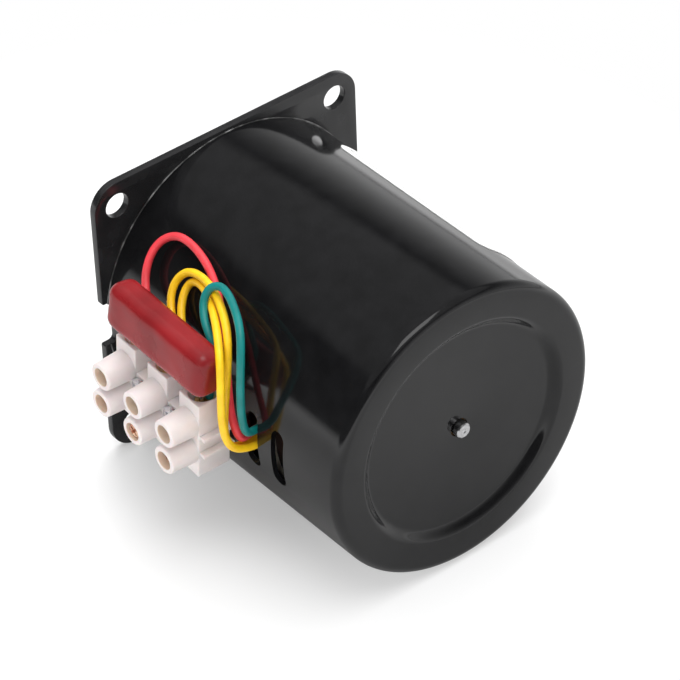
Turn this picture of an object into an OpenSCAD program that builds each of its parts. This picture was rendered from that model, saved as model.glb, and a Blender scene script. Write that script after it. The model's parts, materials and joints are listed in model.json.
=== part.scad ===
// Small reversible synchronous gear motor in a drawn can, with a screw terminal strip and a run capacitor.
// The axis lies along Y: the output shaft points to +Y and the dished rear of the can to -Y.
// The origin is the middle of the flange's mounting face, on the axis of the can.

/* [Flange] */
// Side of the square flange
flange_w = 60; // [59:0.5:64]
// Thickness of the flange
flange_t = 1.5; // [1.2:0.1:2]
// Corner radius of the flange
flange_corner_r = 5.2; // [3:0.1:6]
// Spacing of the mounting holes, both ways
hole_pitch = 50; // [48:0.5:52]
// Diameter of the mounting holes
hole_d = 4.9; // [3.5:0.1:5.5]
// Height of the notch in each side
notch_h = 9.4; // [6:0.2:12]
// Depth of the notch
notch_depth = 2.5; // [1:0.1:3]

/* [Can] */
// Outer diameter of the can
can_d = 58.6; // [58.2:0.1:59.2]
// Thickness of the can's wall
can_wall = 1; // [0.8:0.1:1.2]
// Length of the can behind the flange
can_len = 65.9; // [65.9:0.1:72]
// Outer radius of the rear edge
edge_r = 1.8; // [1.2:0.1:3]
// Radius of the dished middle of the rear face, at its rim
dish_r = 22.5; // [20:0.1:24]
// Depth of the dish
dish_depth = 1.6; // [1:0.1:2]
// Width of the dish's sloping wall
dish_slope = 1.5; // [1:0.1:3]
// Diameter of the hole round the rotor shaft
shaft_hole_d = 3.6; // [3.5:0.1:5]
// Depth of the cut in the can's rim behind each flange notch
rim_cut = 2.5; // [1.5:0.1:4]

/* [Lead slots] */
// Width of the lead exit slot
slot_w = 3.4; // [3.4:0.1:4]
// Height of the slots
slot_h = 12; // [11:0.5:14]
// Place of the exit slot along the axis, behind the mounting face
exit_y = 44; // [43.6:0.1:44.4]
// Distance from the exit slot to the second slot
slot_gap = 7.2; // [6:0.1:9]
// Height of the slots' middle below the axis
slot_drop = 0.4; // [0:0.1:1]

/* [Gear train] */
// Tooth module of the first two stages
gear_m = 0.5; // [0.45:0.01:0.52]
// Tooth module of the last stage
last_m = 0.6; // [0.55:0.01:0.62]
// Teeth of the small pinions
pinion_teeth = 12; // [12]
// Teeth of the two cluster wheels
wheel_teeth = 48; // [48]
// Teeth of the last pinion
last_pinion_teeth = 16; // [16]
// Teeth of the output gear
output_teeth = 50; // [50]
// Clearance on each side of every tooth
tooth_slack = 0.09; // [0.06:0.01:0.12]
// Thickness of the first cluster's wheel
first_wheel_t = 2.6; // [2:0.1:3]
// Thickness of the second cluster's wheel
second_wheel_t = 2.8; // [2:0.1:3]
// Thickness of the output gear
output_gear_t = 4; // [3:0.1:4.5]
// Thickness of the gear plate
gear_plate_t = 1.2; // [1:0.1:1.6]
// Radius of the posts between flange and gear plate
post_r = 2.4; // [2:0.1:2.5]
// Radius of the fixed arbors
arbor_r = 1; // [0.8:0.05:1.1]

/* [Output shaft] */
// Diameter of the output shaft
output_d = 8; // [7:0.1:8]
// Size across the flat of the D
output_flat = 7; // [6.9:0.05:7.2]
// Length of the flat
flat_len = 12; // [8:0.5:14]
// How far the shaft stands out of the flange
output_len = 18; // [16:0.5:22]
// Height of the output shaft above the can's axis
output_up = 10; // [9.8:0.1:10.2]
// Diameter of the output bush's boss
boss_d = 13; // [12:0.5:15]
// How far the boss stands out of the flange
boss_len = 3; // [2:0.5:4]

/* [Rotor and stator] */
// Radius of the rotor shaft
rotor_shaft_r = 1.5; // [1.2:0.05:1.6]
// Outer radius of the magnet
magnet_r = 14; // [13:0.1:14.2]
// Radial thickness of the magnet
magnet_t = 4.5; // [3:0.1:5]
// Air gap between magnet and claws
air_gap = 0.5; // [0.3:0.05:0.8]
// Thickness of the claw plates
claw_t = 1.2; // [1:0.1:1.4]
// Claws on each plate
claw_count = 12; // [8:1:12]
// Share of the pole pitch that a claw fills
claw_share = 0.72; // [0.5:0.01:0.8]
// Wall of the bobbins
bobbin_wall = 1; // [0.8:0.1:1.2]

/* [Terminal strip] */
// Distance from pole to pole
pole_pitch = 9.2; // [9:0.1:9.6]
// Width of a pole's body along the strip
pole_w = 5.7; // [5.5:0.1:6]
// Height of a pole's body, from entry to entry
pole_h = 17; // [16:0.1:18]
// Depth of a pole's body, from its base to its chimneys
pole_depth = 7.1; // [7:0.1:8]
// Length of the chimneys
chimney_len = 5.6; // [5:0.1:6.5]
// Distance between a pole's two chimneys
chimney_pitch = 6.4; // [6.2:0.1:6.6]
// Radius of a chimney at its foot
chimney_foot_r = 2.95; // [2.8:0.05:3.1]
// Radius of a chimney at its mouth
chimney_mouth_r = 2.7; // [2.5:0.05:2.8]
// Radius of a chimney's hole
chimney_bore_r = 1.75; // [1.7:0.01:1.8]
// Tilt of the strip on the can, rear end down, in degrees
strip_tilt = 5; // [0:0.5:6]
// Place of the strip's middle along the axis, behind the mounting face
strip_y = 26.1; // [25.8:0.1:26.4]
// Height of the strip's middle above the can's axis
strip_up = 0.2; // [0:0.1:0.4]

/* [Capacitor] */
// Length of the capacitor's body
cap_len = 27.8; // [26:0.1:28.5]
// Height of the body
cap_h = 9.6; // [9:0.1:10]
// Thickness of the body
cap_t = 6.4; // [6:0.1:6.6]
// Rounding of the body's edges
cap_edge_r = 2.6; // [1.5:0.1:3]
// Lean of the body's top towards the can, in degrees
cap_lean = 7; // [0:0.5:9]
// Tilt of the body, rear end down, in degrees
cap_tilt = 3; // [2:0.5:5]
// Place of the body's middle along the axis, behind the mounting face
cap_y = 27.5; // [27:0.1:28]
// Height of the body's middle above the can's axis
cap_z = 15.6; // [15.4:0.1:16]
// Distance of the body's middle beyond the can's side
cap_out = 5.5; // [5.3:0.1:5.9]

/* [Leads and label] */
// Diameter of the leads
lead_d = 1.5; // [1.2:0.1:1.6]
// Length of the label along the can
label_len = 42; // [30:1:48]
// Angle that the label goes round the can
label_angle = 88; // [40:1:100]

/* [Hidden] */
// The sub-parts of the motor
// The sub-part that is drawn, or all of them
// Facets of the round pieces
$fn = 96;
// Facets of the capacitor's rounded corners
corner_fn = 24;
// Sides of a lead
lead_sides = 8;

// Overrun of every cut
over = 1;
// Gap round a pressed or seated piece
seat = 0.02;
// Radial clearance of a running fit
run_fit = 0.04;
// Gap between stacked plates
stack_gap = 0.05;
// End play of the turning pieces
end_play = 0.1;

// Radius of the can, outside and inside
can_r = can_d / 2;
can_in = can_r - can_wall;
// Depths of the can's rear rim and of the inside of its dished floor
rear = flange_t + can_len;
dish_in = rear - dish_depth - can_wall;
// Width of each of the can's four tabs, in degrees
tab_angle = 16;
// How much thinner a tab is than the wall, on each side
tab_inset = 0.1;
// Rounding of the notches' inner corners
notch_r = 1;
// Distance from the middle to each mounting hole
hole_off = hole_pitch / 2;

// Distance from the flange to the gear plate
gear_case = 22;
gear_plate_y = flange_t + gear_case;
// Depth where the stator stack starts
stack_y = gear_plate_y + gear_plate_t;
// Places of the four posts, as shares of the can's inner radius
post_shares = [[0.65, 0.6], [-0.65, 0.6], [-0.42, -0.8], [0.35, -0.83]];
post_spots = can_in * post_shares;
// Radius of the posts' rivet ends
rivet_r = 1.5;
// Radial gap between the gear plate and the can
plate_gap = 0.2;

// Pressure angle of the teeth
pressure = 20;
// Profile shift, added on pinions and taken off wheels
shift = 0.3;
// Addendum and dedendum in modules
addendum = 0.85;
dedendum = 1.25;
// Share of the tooth's height at its lower flank point
flank_share = 0.3;
// How far a pinion's ends pass the wheel
face_margin = 0.4;
// Direction of the first arbor from the rotor, in degrees
first_angle = -20;
// Depth of the output gear behind the flange
gear_inset = 5;
// Steps along the clusters from pinion to wheel
second_step = 1.3;
first_step = 1.8;
// Radius of the clusters' hubs
hub_r = 2.2;
// Gap at the ends of the clusters' hubs
hub_gap = 0.4;

// Centre distances of the stages
small_dist = gear_m * (pinion_teeth + wheel_teeth) / 2;
last_dist = last_m * (last_pinion_teeth + output_teeth) / 2;
// Centres of the output, the first arbor and the second arbor
output_c = [0, output_up];
first_c = small_dist * [cos(first_angle), sin(first_angle)];
apart = norm(output_c - first_c);
across = (output_c - first_c) / apart;
foot = (apart * apart + small_dist * small_dist - last_dist * last_dist) / (2 * apart);
rise = sqrt(small_dist * small_dist - foot * foot);
second_c = first_c + foot * across + rise * [-across[1], across[0]];

// Depths of the gears' front faces
output_gear_y = flange_t + gear_inset;
last_pinion_y = output_gear_y - face_margin;
last_pinion_t = output_gear_t + 2 * face_margin;
second_wheel_y = last_pinion_y + last_pinion_t + second_step;
first_pinion_y = second_wheel_y - face_margin;
first_pinion_t = second_wheel_t + 2 * face_margin;
first_wheel_y = first_pinion_y + first_pinion_t + first_step;
rotor_pinion_y = first_wheel_y - face_margin;
rotor_pinion_t = first_wheel_t + 2 * face_margin;

// Radius of the output shaft and of its rear journal
output_r = output_d / 2;
journal_r = 3;
// Gap behind the journal
journal_gap = 0.4;
// Radius and length of the output bush inside the flange
bush_r = 5.5;
bush_len = 5;
// Radius and length of the output's rear bush
rear_bush_r = 4.5;
rear_bush_len = 2.7;
// Thickness, radius and groove radius of the retaining ring
ring_t = 0.8;
ring_r = 5.6;
groove_r = 3.5;

// How far the rotor shaft stands out in front of its pinion
rotor_nose = 0.5;
// How far the rotor shaft's end stays inside the rear rim
rotor_inset = 0.2;
// Radius of the rotor's bushes
front_bush_r = 3.5;
back_bush_r = 4;
// How far the front bush reaches each way past the gear plate
bush_lap = 1.9;
bush_tail = 1.5;
// Radius of the rotor's spacers
spacer_r = 2.6;
// Thickness of the bearing plate
bearing_t = 1;
bearing_y = dish_in - bearing_t;
// Gaps from the ends of the stator to the ends of the magnet
magnet_front_gap = 2.3;
magnet_rear_gap = 3.3;
magnet_y = stack_y + magnet_front_gap;
magnet_end = bearing_y - magnet_rear_gap;
// Radius of the hub, and its recesses
hub_out = magnet_r - magnet_t;
recess_r = 6.3;
recess_depth = 4;
// How far the rear bush reaches into the hub
bush_reach = 2;

// Length of each stator stage and of the bobbin in it
stage = (bearing_y - stack_y) / 2;
bobbin_len = stage - 2 * claw_t - 3 * stack_gap;
// Radii of the claws and the bobbins
claw_in = magnet_r + air_gap;
claw_out = claw_in + claw_t;
// How far the claws stand inside the hole of their plate
claw_step = 0.2;
bobbin_in = claw_out + end_play;
// Gaps from the can's wall to the bobbins, the coils and the claw plates
bobbin_gap = 1.8;
coil_gap = 2.3;
claw_plate_gap = 0.1;
bobbin_r = can_in - bobbin_gap;
coil_r = can_in - coil_gap;
claw_plate_r = can_in - claw_plate_gap;
// Gap between a claw's tip and the opposite plate
claw_tip_gap = 1;
// Depth of the claw plates' notch for the leads below the can's wall, and its height
lead_notch_depth = 1.7;
lead_floor = can_in - lead_notch_depth;
lead_notch_h = 13;

// Gap between the strip's base and the can
strip_gap = 0.15;
// Places of the poles along the strip
poles = [-pole_pitch, 0, pole_pitch];
// Lower and upper edges of the web that joins the poles
web_low = -3.3;
web_high = 3.1;
// Length, thickness, depth and heights of the cut ribs past each end pole
stub_len = 1.3;
stub_t = 0.7;
stub_depth = 6.8;
stub_places = [-3.3, 0.6];
// Depth of the wire entries above the base
entry_c = 3.4;
// Radius and length of the brass inserts, and of their bores
insert_r = 1.9;
insert_len = 12.4;
insert_bore_r = 1.2;
insert_gap = 0.05;
// Radius of a wire entry at its mouth
entry_r = 2.5;
// Size of the clamp screws
clamp_head_r = 1.6;
clamp_head_t = 1.4;
clamp_shank_r = 1.1;
clamp_shank_len = 5.6;
// Height and end radius of the clamp screws' tapered tips
clamp_tip = 0.6;
clamp_tip_r = 0.6;
// Cross recess of the screws
cross_w = 0.5;
cross_depth = 0.6;
// Share of a head's width that the cross takes
cross_share = 0.62;
// How deep the heads lie below the chimneys' mouths
lead_sink = 2.6;
supply_sink = [1.2, 0.4, 1.2];
// Distance from the strip's middle to its mounting screws
mount_off = pole_pitch / 2;
// Height of the mounting screws above the strip's middle
mount_up = 0.9;
// Size of the strip's mounting screws
mount_head_r = 2.1;
mount_head_t = 1;
mount_shank_r = 1.2;
// How far the mounting screws reach into the can
mount_reach = 1.3;
mount_tip = can_in - mount_reach;

// Radius of the capacitor's leads, and where they enter a pole
cap_lead_r = 0.4;
cap_lead_c = 4.1;
// Ends of the capacitor's leads along the pole's height
cap_lead_low = 5;
cap_lead_high = 12.3;

// Angle of the label's upper edge, its distance from the mounting face, its thickness and corners
label_top = 55;
label_y = 11.6;
label_t = 0.15;
label_corner_r = 3;

// How far the leads reach in from the can's outside, and where they leave its slot
lead_reach = 2.5;
mouth_inset = 0.1;
lead_start = can_r - lead_reach;
slot_mouth = can_r - mouth_inset;
// Heights of the leads in the slot
red_up = 0.7;
yellow_up = -1.2;
green_up = 2.3;
// Depths of the two columns of leads in the slot
near_col = 43.2;
far_col = 44.8;
// Where the leads enter the poles: distance above the base, and the pair's half spacing
single_c = 2.5;
pair_step = 0.85;
// Gap between a lead's end and the insert, and between its last bend and the pole's top
lead_seat = 0.2;
lead_drop = 0.2;

// Depth and width of the turned relief where the shaft's flat ends
flat_relief = 0.2;
flat_relief_w = 0.4;

// Radius of the can that the leads' routes were laid round
route_can_r = 29.3;
// Middle points of the leads' routes
red_route = [[-31.5, -44.5, 1.3], [-32.9, -44.4, 3.4], [-32.2, -41.9, 7.7], [-30.1, -39.1, 12.7],
    [-27, -34.6, 17.3], [-24.1, -29.6, 20.2], [-22.3, -25.7, 21.5], [-21, -21.3, 22.8],
    [-20.4, -15.9, 23.3], [-21, -12.8, 22.8], [-22.6, -11, 21.5], [-25.1, -10.4, 18.9],
    [-27.9, -12.2, 14.8], [-29.5, -15.9, 13], [-31, -17.3, 11]];
rear_yellow_route = [[-32.9, -45.2, 0.2], [-35.2, -45.1, 2.3], [-35.9, -44.5, 7], [-35.2, -43.9, 13.5],
    [-33, -41.3, 20.7], [-27.6, -32.6, 20.8], [-24.8, -26.8, 20.8], [-24, -22.3, 20],
    [-25.5, -21.1, 17.6], [-28.3, -23.3, 14.7], [-29.9, -26.6, 12.6], [-31.6, -27.6, 10.6]];
front_yellow_route = [[-32.6, -43.5, -0.7], [-34.4, -43.5, 1.6], [-34.6, -43.2, 6], [-32.9, -42.5, 12.9],
    [-30.3, -40.3, 20.2], [-28, -36.3, 21.9], [-25.5, -30.8, 22.4], [-24.3, -25.8, 22.4],
    [-24.2, -21, 21.5], [-25.9, -18.8, 18.4], [-28.2, -20.1, 15.1], [-30.3, -24.5, 12.3],
    [-31.7, -25.8, 10.6]];
green_route = [[-32.1, -46.1, 3.7], [-32.9, -46.3, 8.6], [-32.7, -46.2, 15.1], [-30.4, -44.2, 22.7],
    [-28.4, -40.9, 24.3], [-25.6, -34.7, 25], [-25.3, -31.3, 24.7], [-26.6, -29.7, 23.4],
    [-28.4, -30.4, 20.9], [-30.1, -33.7, 18.3], [-30.5, -36.9, 16], [-31, -37.1, 12.3],
    [-31.7, -36.5, 9.8]];

// Colours
black_gloss = [0.06, 0.06, 0.07];
zinc = [0.72, 0.73, 0.75];
steel = [0.6, 0.61, 0.63];
brass = [0.8, 0.62, 0.3];
bronze = [0.62, 0.45, 0.28];
copper = [0.75, 0.42, 0.25];
nylon = [0.9, 0.88, 0.82];
strip_white = [0.95, 0.93, 0.92];
ferrite = [0.2, 0.2, 0.22];
cap_red = [0.6, 0.12, 0.14];
lead_red = [0.88, 0.15, 0.2];
lead_yellow = [0.95, 0.75, 0.08];
lead_green = [0, 0.5, 0.45];
label_white = [0.96, 0.96, 0.95];

// Lays a shape drawn along Z so that its Z runs back from the mounting face
module axial() {
    rotate([90, 0, 0]) children();
}

// Carries a shape to the strip: outward is -X, rearward is -Y, up is +Z
module on_strip() {
    translate([-can_r - strip_gap, -strip_y, strip_up])
        rotate([strip_tilt, 0, 0])
            children();
}

// A point of the strip: distance rearward, up and outward from the middle of its base
function strip_point(back, up, out) = [
    -can_r - strip_gap - out,
    -strip_y - back * cos(strip_tilt) - up * sin(strip_tilt),
    strip_up - back * sin(strip_tilt) + up * cos(strip_tilt)
];

// A tube along the axis between two depths
module tube(r_out, r_in, from, to) {
    translate([0, 0, from]) difference() {
        cylinder(h = to - from, r = r_out);
        translate([0, 0, -over]) cylinder(h = to - from + 2 * over, r = r_in);
    }
}

module rounded_rect(w, h, r) {
    square([w - 2 * r, h], center = true);
    square([w, h - 2 * r], center = true);
    for (x = [-1, 1], y = [-1, 1]) {
        translate([x * (w / 2 - r), y * (h / 2 - r)]) circle(r);
    }
}

module obround(w, h) {
    square([w, h - w], center = true);
    for (y = [-1, 1]) {
        translate([0, y * (h - w) / 2]) circle(w / 2);
    }
}

// Half outline of a drawn cup that is open towards the flange
module cup_outline(r, depth, round_r) {
    translate([0, flange_t]) square([r, depth - flange_t - round_r]);
    translate([0, flange_t]) square([r - round_r, depth - flange_t]);
    translate([r - round_r, depth - round_r]) circle(round_r);
}

// Half outline of the dish from its floor to its rim
module dish_outline(floor_y, rim_y) {
    polygon([[0, floor_y], [dish_r - dish_slope, floor_y], [dish_r, rim_y],
        [dish_r, rim_y + over], [0, rim_y + over]]);
}

module can_outline() {
    difference() {
        cup_outline(can_r, rear, edge_r);
        difference() {
            union() {
                cup_outline(can_in, rear - can_wall, edge_r - can_wall);
                translate([0, flange_t - over]) square([can_in, 2 * over]);
            }
            dish_outline(dish_in, rear - can_wall);
        }
        dish_outline(rear - dish_depth, rear);
        square([shaft_hole_d / 2, rear + over]);
    }
}

// The can's tabs, or with a gap the slots for them
module tabs(gap, from, to) {
    gap_angle = gap / can_in * 180 / PI;
    for (a = [45, 135, 225, 315]) {
        rotate(a - tab_angle / 2 - gap_angle)
            rotate_extrude(angle = tab_angle + 2 * gap_angle)
                translate([can_in + tab_inset - gap, from])
                    square([can_wall - 2 * tab_inset + 2 * gap, to - from]);
    }
}

// A slot through the wall of the can on its -X side
module wall_slot(depth) {
    translate([-can_r - over, -slot_drop, depth])
        rotate([0, 90, 0])
            linear_extrude(can_wall + 2 * over)
                obround(slot_w, slot_h);
}

module can() {
    color(black_gloss) difference() {
        axial() difference() {
            union() {
                rotate_extrude() can_outline();
                tabs(0, 0, flange_t + rim_cut);
            }
            wall_slot(exit_y);
            wall_slot(exit_y + slot_gap);
            for (side = [-1, 1]) {
                translate([side * can_r, 0, flange_t + rim_cut / 2])
                    cube([4 * can_wall, notch_h, rim_cut], center = true);
            }
        }
        mount_shanks(seat, over);
    }
}

module notch_outline() {
    translate([-notch_depth, -notch_h / 2 + notch_r]) square([notch_depth + over, notch_h - 2 * notch_r]);
    translate([-notch_depth + notch_r, -notch_h / 2]) square([notch_depth - notch_r + over, notch_h]);
    for (y = [-1, 1]) {
        translate([-notch_depth + notch_r, y * (notch_h / 2 - notch_r)]) circle(notch_r);
    }
}

module flange_plate() {
    color(black_gloss) axial() difference() {
        linear_extrude(flange_t) difference() {
            rounded_rect(flange_w, flange_w, flange_corner_r);
            for (x = [-1, 1], y = [-1, 1]) {
                translate([x * hole_off, y * hole_off]) circle(d = hole_d);
            }
            for (side = [0, 180]) {
                rotate(side) translate([flange_w / 2, 0]) notch_outline();
            }
            for (spot = post_spots) {
                translate(spot) circle(rivet_r + seat);
            }
            for (spot = [first_c, second_c]) {
                translate(spot) circle(arbor_r + seat);
            }
            translate(output_c) circle(bush_r + seat);
        }
        tabs(stack_gap, -over, flange_t + over);
    }
}

module gear_plate() {
    color(zinc) axial() translate([0, 0, gear_plate_y]) linear_extrude(gear_plate_t) difference() {
        circle(can_in - plate_gap);
        circle(front_bush_r + seat);
        translate(output_c) circle(rear_bush_r + seat);
        for (spot = post_spots) {
            translate(spot) circle(rivet_r + seat);
        }
        for (spot = [first_c, second_c]) {
            translate(spot) circle(arbor_r + seat);
        }
    }
}

module plate_posts() {
    color(steel) axial() {
        for (spot = post_spots) {
            translate(spot) {
                cylinder(h = stack_y, r = rivet_r);
                translate([0, 0, flange_t]) cylinder(h = gear_case, r = post_r);
            }
        }
    }
}

module arbor(spot) {
    color(steel) axial() translate(spot) cylinder(h = stack_y, r = arbor_r);
}

module first_arbor() {
    arbor(first_c);
}

module second_arbor() {
    arbor(second_c);
}

// Involute of an angle, in degrees
function involute(a) = tan(a) * 180 / PI - a;

// Half the angle that a tooth fills at a radius
function half_tooth(m, z, x, r) = let (
    pitch_r = m * z / 2,
    base_r = pitch_r * cos(pressure),
    a = acos(base_r / max(r, base_r))
) (PI * m / 4 + x * m * tan(pressure) - tooth_slack) / pitch_r * 180 / PI + involute(pressure) - involute(a);

// Radii at which a tooth's flank has its points
function flank_radii(m, z, x) = let (
    pitch_r = m * z / 2,
    low = pitch_r - m * (dedendum - x),
    top = pitch_r + m * (addendum + x)
) [low, low + flank_share * (top - low), (low + flank_share * (top - low) + top) / 2, top];

function polar(r, a) = [r * cos(a), r * sin(a)];

module gear_outline(m, z, x, phase) {
    radii = flank_radii(m, z, x);
    polygon([for (i = [0:z - 1]) let (mid = phase + i * 360 / z) each concat(
        [for (k = [0:3]) polar(radii[k], mid - half_tooth(m, z, x, radii[k]))],
        [for (k = [3:-1:0]) polar(radii[k], mid + half_tooth(m, z, x, radii[k]))]
    )]);
}

// Direction from one centre to another, in degrees
function heading(from, to) = atan2(to[1] - from[1], to[0] - from[0]);

// Phase of a wheel that meshes with an upright pinion
function mesh_phase(from, to, z_from, z_to) = let (a = heading(from, to))
    a + 180 - (0.5 - a * z_from / 360) * 360 / z_to;

// One gear of given bore between a depth and its thickness
module gear(m, z, x, phase, bore_r, from, thick) {
    translate([0, 0, from]) linear_extrude(thick) difference() {
        gear_outline(m, z, x, phase);
        circle(bore_r);
    }
}

// A hub between the flange and the gear plate
module cluster_hub() {
    tube(hub_r, arbor_r + run_fit, flange_t + hub_gap, gear_plate_y - hub_gap);
}

module first_cluster() {
    color(nylon) axial() translate(first_c) {
        cluster_hub();
        gear(gear_m, wheel_teeth, -shift, mesh_phase([0, 0], first_c, pinion_teeth, wheel_teeth),
            arbor_r + run_fit, first_wheel_y, first_wheel_t);
        gear(gear_m, pinion_teeth, shift, 0, arbor_r + run_fit, first_pinion_y, first_pinion_t);
    }
}

module second_cluster() {
    color(nylon) axial() translate(second_c) {
        cluster_hub();
        gear(gear_m, wheel_teeth, -shift, mesh_phase(first_c, second_c, pinion_teeth, wheel_teeth),
            arbor_r + run_fit, second_wheel_y, second_wheel_t);
        gear(last_m, last_pinion_teeth, shift, 0, arbor_r + run_fit, last_pinion_y, last_pinion_t);
    }
}

module output_gear() {
    color(steel) axial() translate(output_c)
        gear(last_m, output_teeth, -shift, mesh_phase(second_c, output_c, last_pinion_teeth, output_teeth),
            output_r + seat, output_gear_y, output_gear_t);
}

module output_shaft() {
    color(steel) axial() translate(output_c) difference() {
        union() {
            translate([0, 0, -output_len]) cylinder(h = output_len + output_gear_y + output_gear_t, r = output_r);
            cylinder(h = stack_y - journal_gap, r = journal_r);
        }
        translate([-output_r, output_flat - output_r, -output_len - over])
            cube([output_d, output_r, flat_len + over]);
        tube(output_r + over, groove_r, -boss_len - end_play - ring_t, -boss_len - end_play);
        translate([0, 0, flat_len - output_len])
            tube(output_r + over, output_r - flat_relief, -flat_relief_w, 0);
    }
}

module output_bush() {
    color(bronze) axial() translate(output_c) {
        tube(boss_d / 2, output_r + run_fit, -boss_len, 0);
        tube(bush_r, output_r + run_fit, 0, bush_len);
    }
}

module output_rear_bush() {
    color(bronze) axial() translate(output_c)
        tube(rear_bush_r, journal_r + run_fit, stack_y - rear_bush_len, stack_y);
}

module output_washer() {
    color(steel) axial() translate(output_c)
        tube(bush_r, output_r + end_play, bush_len, output_gear_y - end_play);
}

module retaining_ring() {
    color(steel) axial() translate(output_c) difference() {
        tube(ring_r, groove_r + seat, -boss_len - end_play - ring_t + seat, -boss_len - end_play - seat);
        translate([-groove_r / 2, -ring_r - over, -boss_len - end_play - ring_t])
            cube([groove_r, ring_r, ring_t]);
    }
}

module rotor_shaft() {
    from = rotor_pinion_y - rotor_nose;
    color(steel) axial() translate([0, 0, from]) cylinder(h = rear - rotor_inset - from, r = rotor_shaft_r);
}

module rotor_pinion() {
    color(brass) axial()
        gear(gear_m, pinion_teeth, shift, 0, rotor_shaft_r + seat, rotor_pinion_y, rotor_pinion_t);
}

module rotor_hub() {
    color(nylon) axial() difference() {
        tube(hub_out, rotor_shaft_r + seat, magnet_y, magnet_end);
        translate([0, 0, magnet_y - over]) cylinder(h = recess_depth + over, r = recess_r);
        translate([0, 0, magnet_end - recess_depth]) cylinder(h = recess_depth + over, r = recess_r);
    }
}

module rotor_magnet() {
    color(ferrite) axial() tube(magnet_r, hub_out + seat, magnet_y, magnet_end);
}

module rotor_spacers() {
    color(steel) axial() {
        tube(spacer_r, rotor_shaft_r + seat, rotor_pinion_y + rotor_pinion_t + seat,
            gear_plate_y - bush_lap - end_play);
        tube(spacer_r, rotor_shaft_r + seat, magnet_end - recess_depth + seat, magnet_end - bush_reach - end_play);
    }
}

module rotor_front_bush() {
    color(bronze) axial()
        tube(front_bush_r, rotor_shaft_r + run_fit, gear_plate_y - bush_lap, stack_y + bush_tail);
}

module rotor_rear_bush() {
    color(bronze) axial()
        tube(back_bush_r, rotor_shaft_r + run_fit, magnet_end - bush_reach, dish_in);
}

module bearing_plate() {
    color(zinc) axial() tube(can_in - plate_gap, back_bush_r + seat, bearing_y, dish_in);
}

module bobbin(from) {
    color(nylon) axial() {
        tube(bobbin_in + bobbin_wall, bobbin_in, from, from + bobbin_len);
        tube(bobbin_r, bobbin_in, from, from + bobbin_wall);
        tube(bobbin_r, bobbin_in, from + bobbin_len - bobbin_wall, from + bobbin_len);
    }
}

module coil(from) {
    color(copper) axial()
        tube(coil_r, bobbin_in + bobbin_wall + stack_gap, from + bobbin_wall + stack_gap,
            from + bobbin_len - bobbin_wall - stack_gap);
}

// Depths where the two bobbins start
front_y = stack_y + 2 * stack_gap + claw_t;
rear_y = front_y + stage;

module front_bobbin() {
    bobbin(front_y);
}

module rear_bobbin() {
    bobbin(rear_y);
}

module front_coil() {
    coil(front_y);
}

module rear_coil() {
    coil(rear_y);
}

// A claw plate: its ring starts at a depth, its claws point rearward (1) or forward (-1)
module claw_plate(from, side, turn, notched) {
    claw_len = bobbin_len + stack_gap - claw_tip_gap;
    half_pitch = 180 / claw_count;
    claw_width = half_pitch * claw_share;
    color(zinc) axial() difference() {
        union() {
            rotate(turn - half_pitch) tube(claw_plate_r, claw_in + claw_step, from, from + claw_t);
            for (i = [0:claw_count - 1]) {
                rotate(turn + i * 2 * half_pitch - claw_width / 2)
                    rotate_extrude(angle = claw_width)
                        translate([claw_in, side > 0 ? from : from - claw_len])
                            square([claw_t, claw_len + claw_t]);
            }
        }
        if (notched) {
            translate([-claw_plate_r - over, -lead_notch_h / 2, from - over])
                cube([claw_plate_r + over - lead_floor, lead_notch_h, claw_t + 2 * over]);
        }
    }
}

module claw_plate_1() {
    claw_plate(front_y - stack_gap - claw_t, 1, 0, false);
}

module claw_plate_2() {
    claw_plate(front_y + bobbin_len + stack_gap, -1, 180 / claw_count, true);
}

module claw_plate_3() {
    claw_plate(rear_y - stack_gap - claw_t, 1, 90 / claw_count, true);
}

module claw_plate_4() {
    claw_plate(rear_y + bobbin_len + stack_gap, -1, 270 / claw_count, false);
}

module terminal_strip() {
    color(strip_white) on_strip() difference() {
        union() {
            for (a = poles) {
                translate([-pole_depth, -a - pole_w / 2, -pole_h / 2]) cube([pole_depth, pole_w, pole_h]);
                for (b = [-1, 1]) {
                    translate([-pole_depth, -a, b * chimney_pitch / 2]) rotate([0, -90, 0])
                        cylinder(h = chimney_len, r1 = chimney_foot_r, r2 = chimney_mouth_r);
                }
            }
            translate([-pole_depth, -pole_pitch, web_low])
                cube([pole_depth, 2 * pole_pitch, web_high - web_low]);
            for (b = stub_places) {
                translate([-stub_depth, -pole_pitch - pole_w / 2 - stub_len, b])
                    cube([stub_depth, 2 * pole_pitch + pole_w + 2 * stub_len, stub_t]);
            }
        }
        mount_rods(insert_gap, over);
        for (a = poles) {
            translate([-entry_c, -a, -pole_h / 2 - over])
                cylinder(h = pole_h + 2 * over, r = insert_r + insert_gap);
            for (b = [-1, 1]) {
                translate([-entry_c, -a, b * insert_len / 2]) mirror([0, 0, b < 0 ? 1 : 0])
                    cylinder(h = (pole_h - insert_len) / 2, r1 = insert_r + insert_gap, r2 = entry_r);
                translate([-pole_depth - chimney_len - over, -a, b * chimney_pitch / 2]) rotate([0, 90, 0])
                    cylinder(h = chimney_len + pole_depth - entry_c + over, r = chimney_bore_r);
            }
        }
    }
}

module strip_inserts() {
    color(brass) on_strip() {
        for (a = poles) {
            translate([-entry_c, -a, 0]) difference() {
                cylinder(h = insert_len, r = insert_r, center = true);
                cylinder(h = insert_len + 2 * over, r = insert_bore_r, center = true);
                for (b = [-1, 1]) {
                    translate([0, 0, b * chimney_pitch / 2]) rotate([0, -90, 0])
                        cylinder(h = insert_r + over, r = clamp_shank_r + end_play);
                }
            }
        }
    }
}

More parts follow.
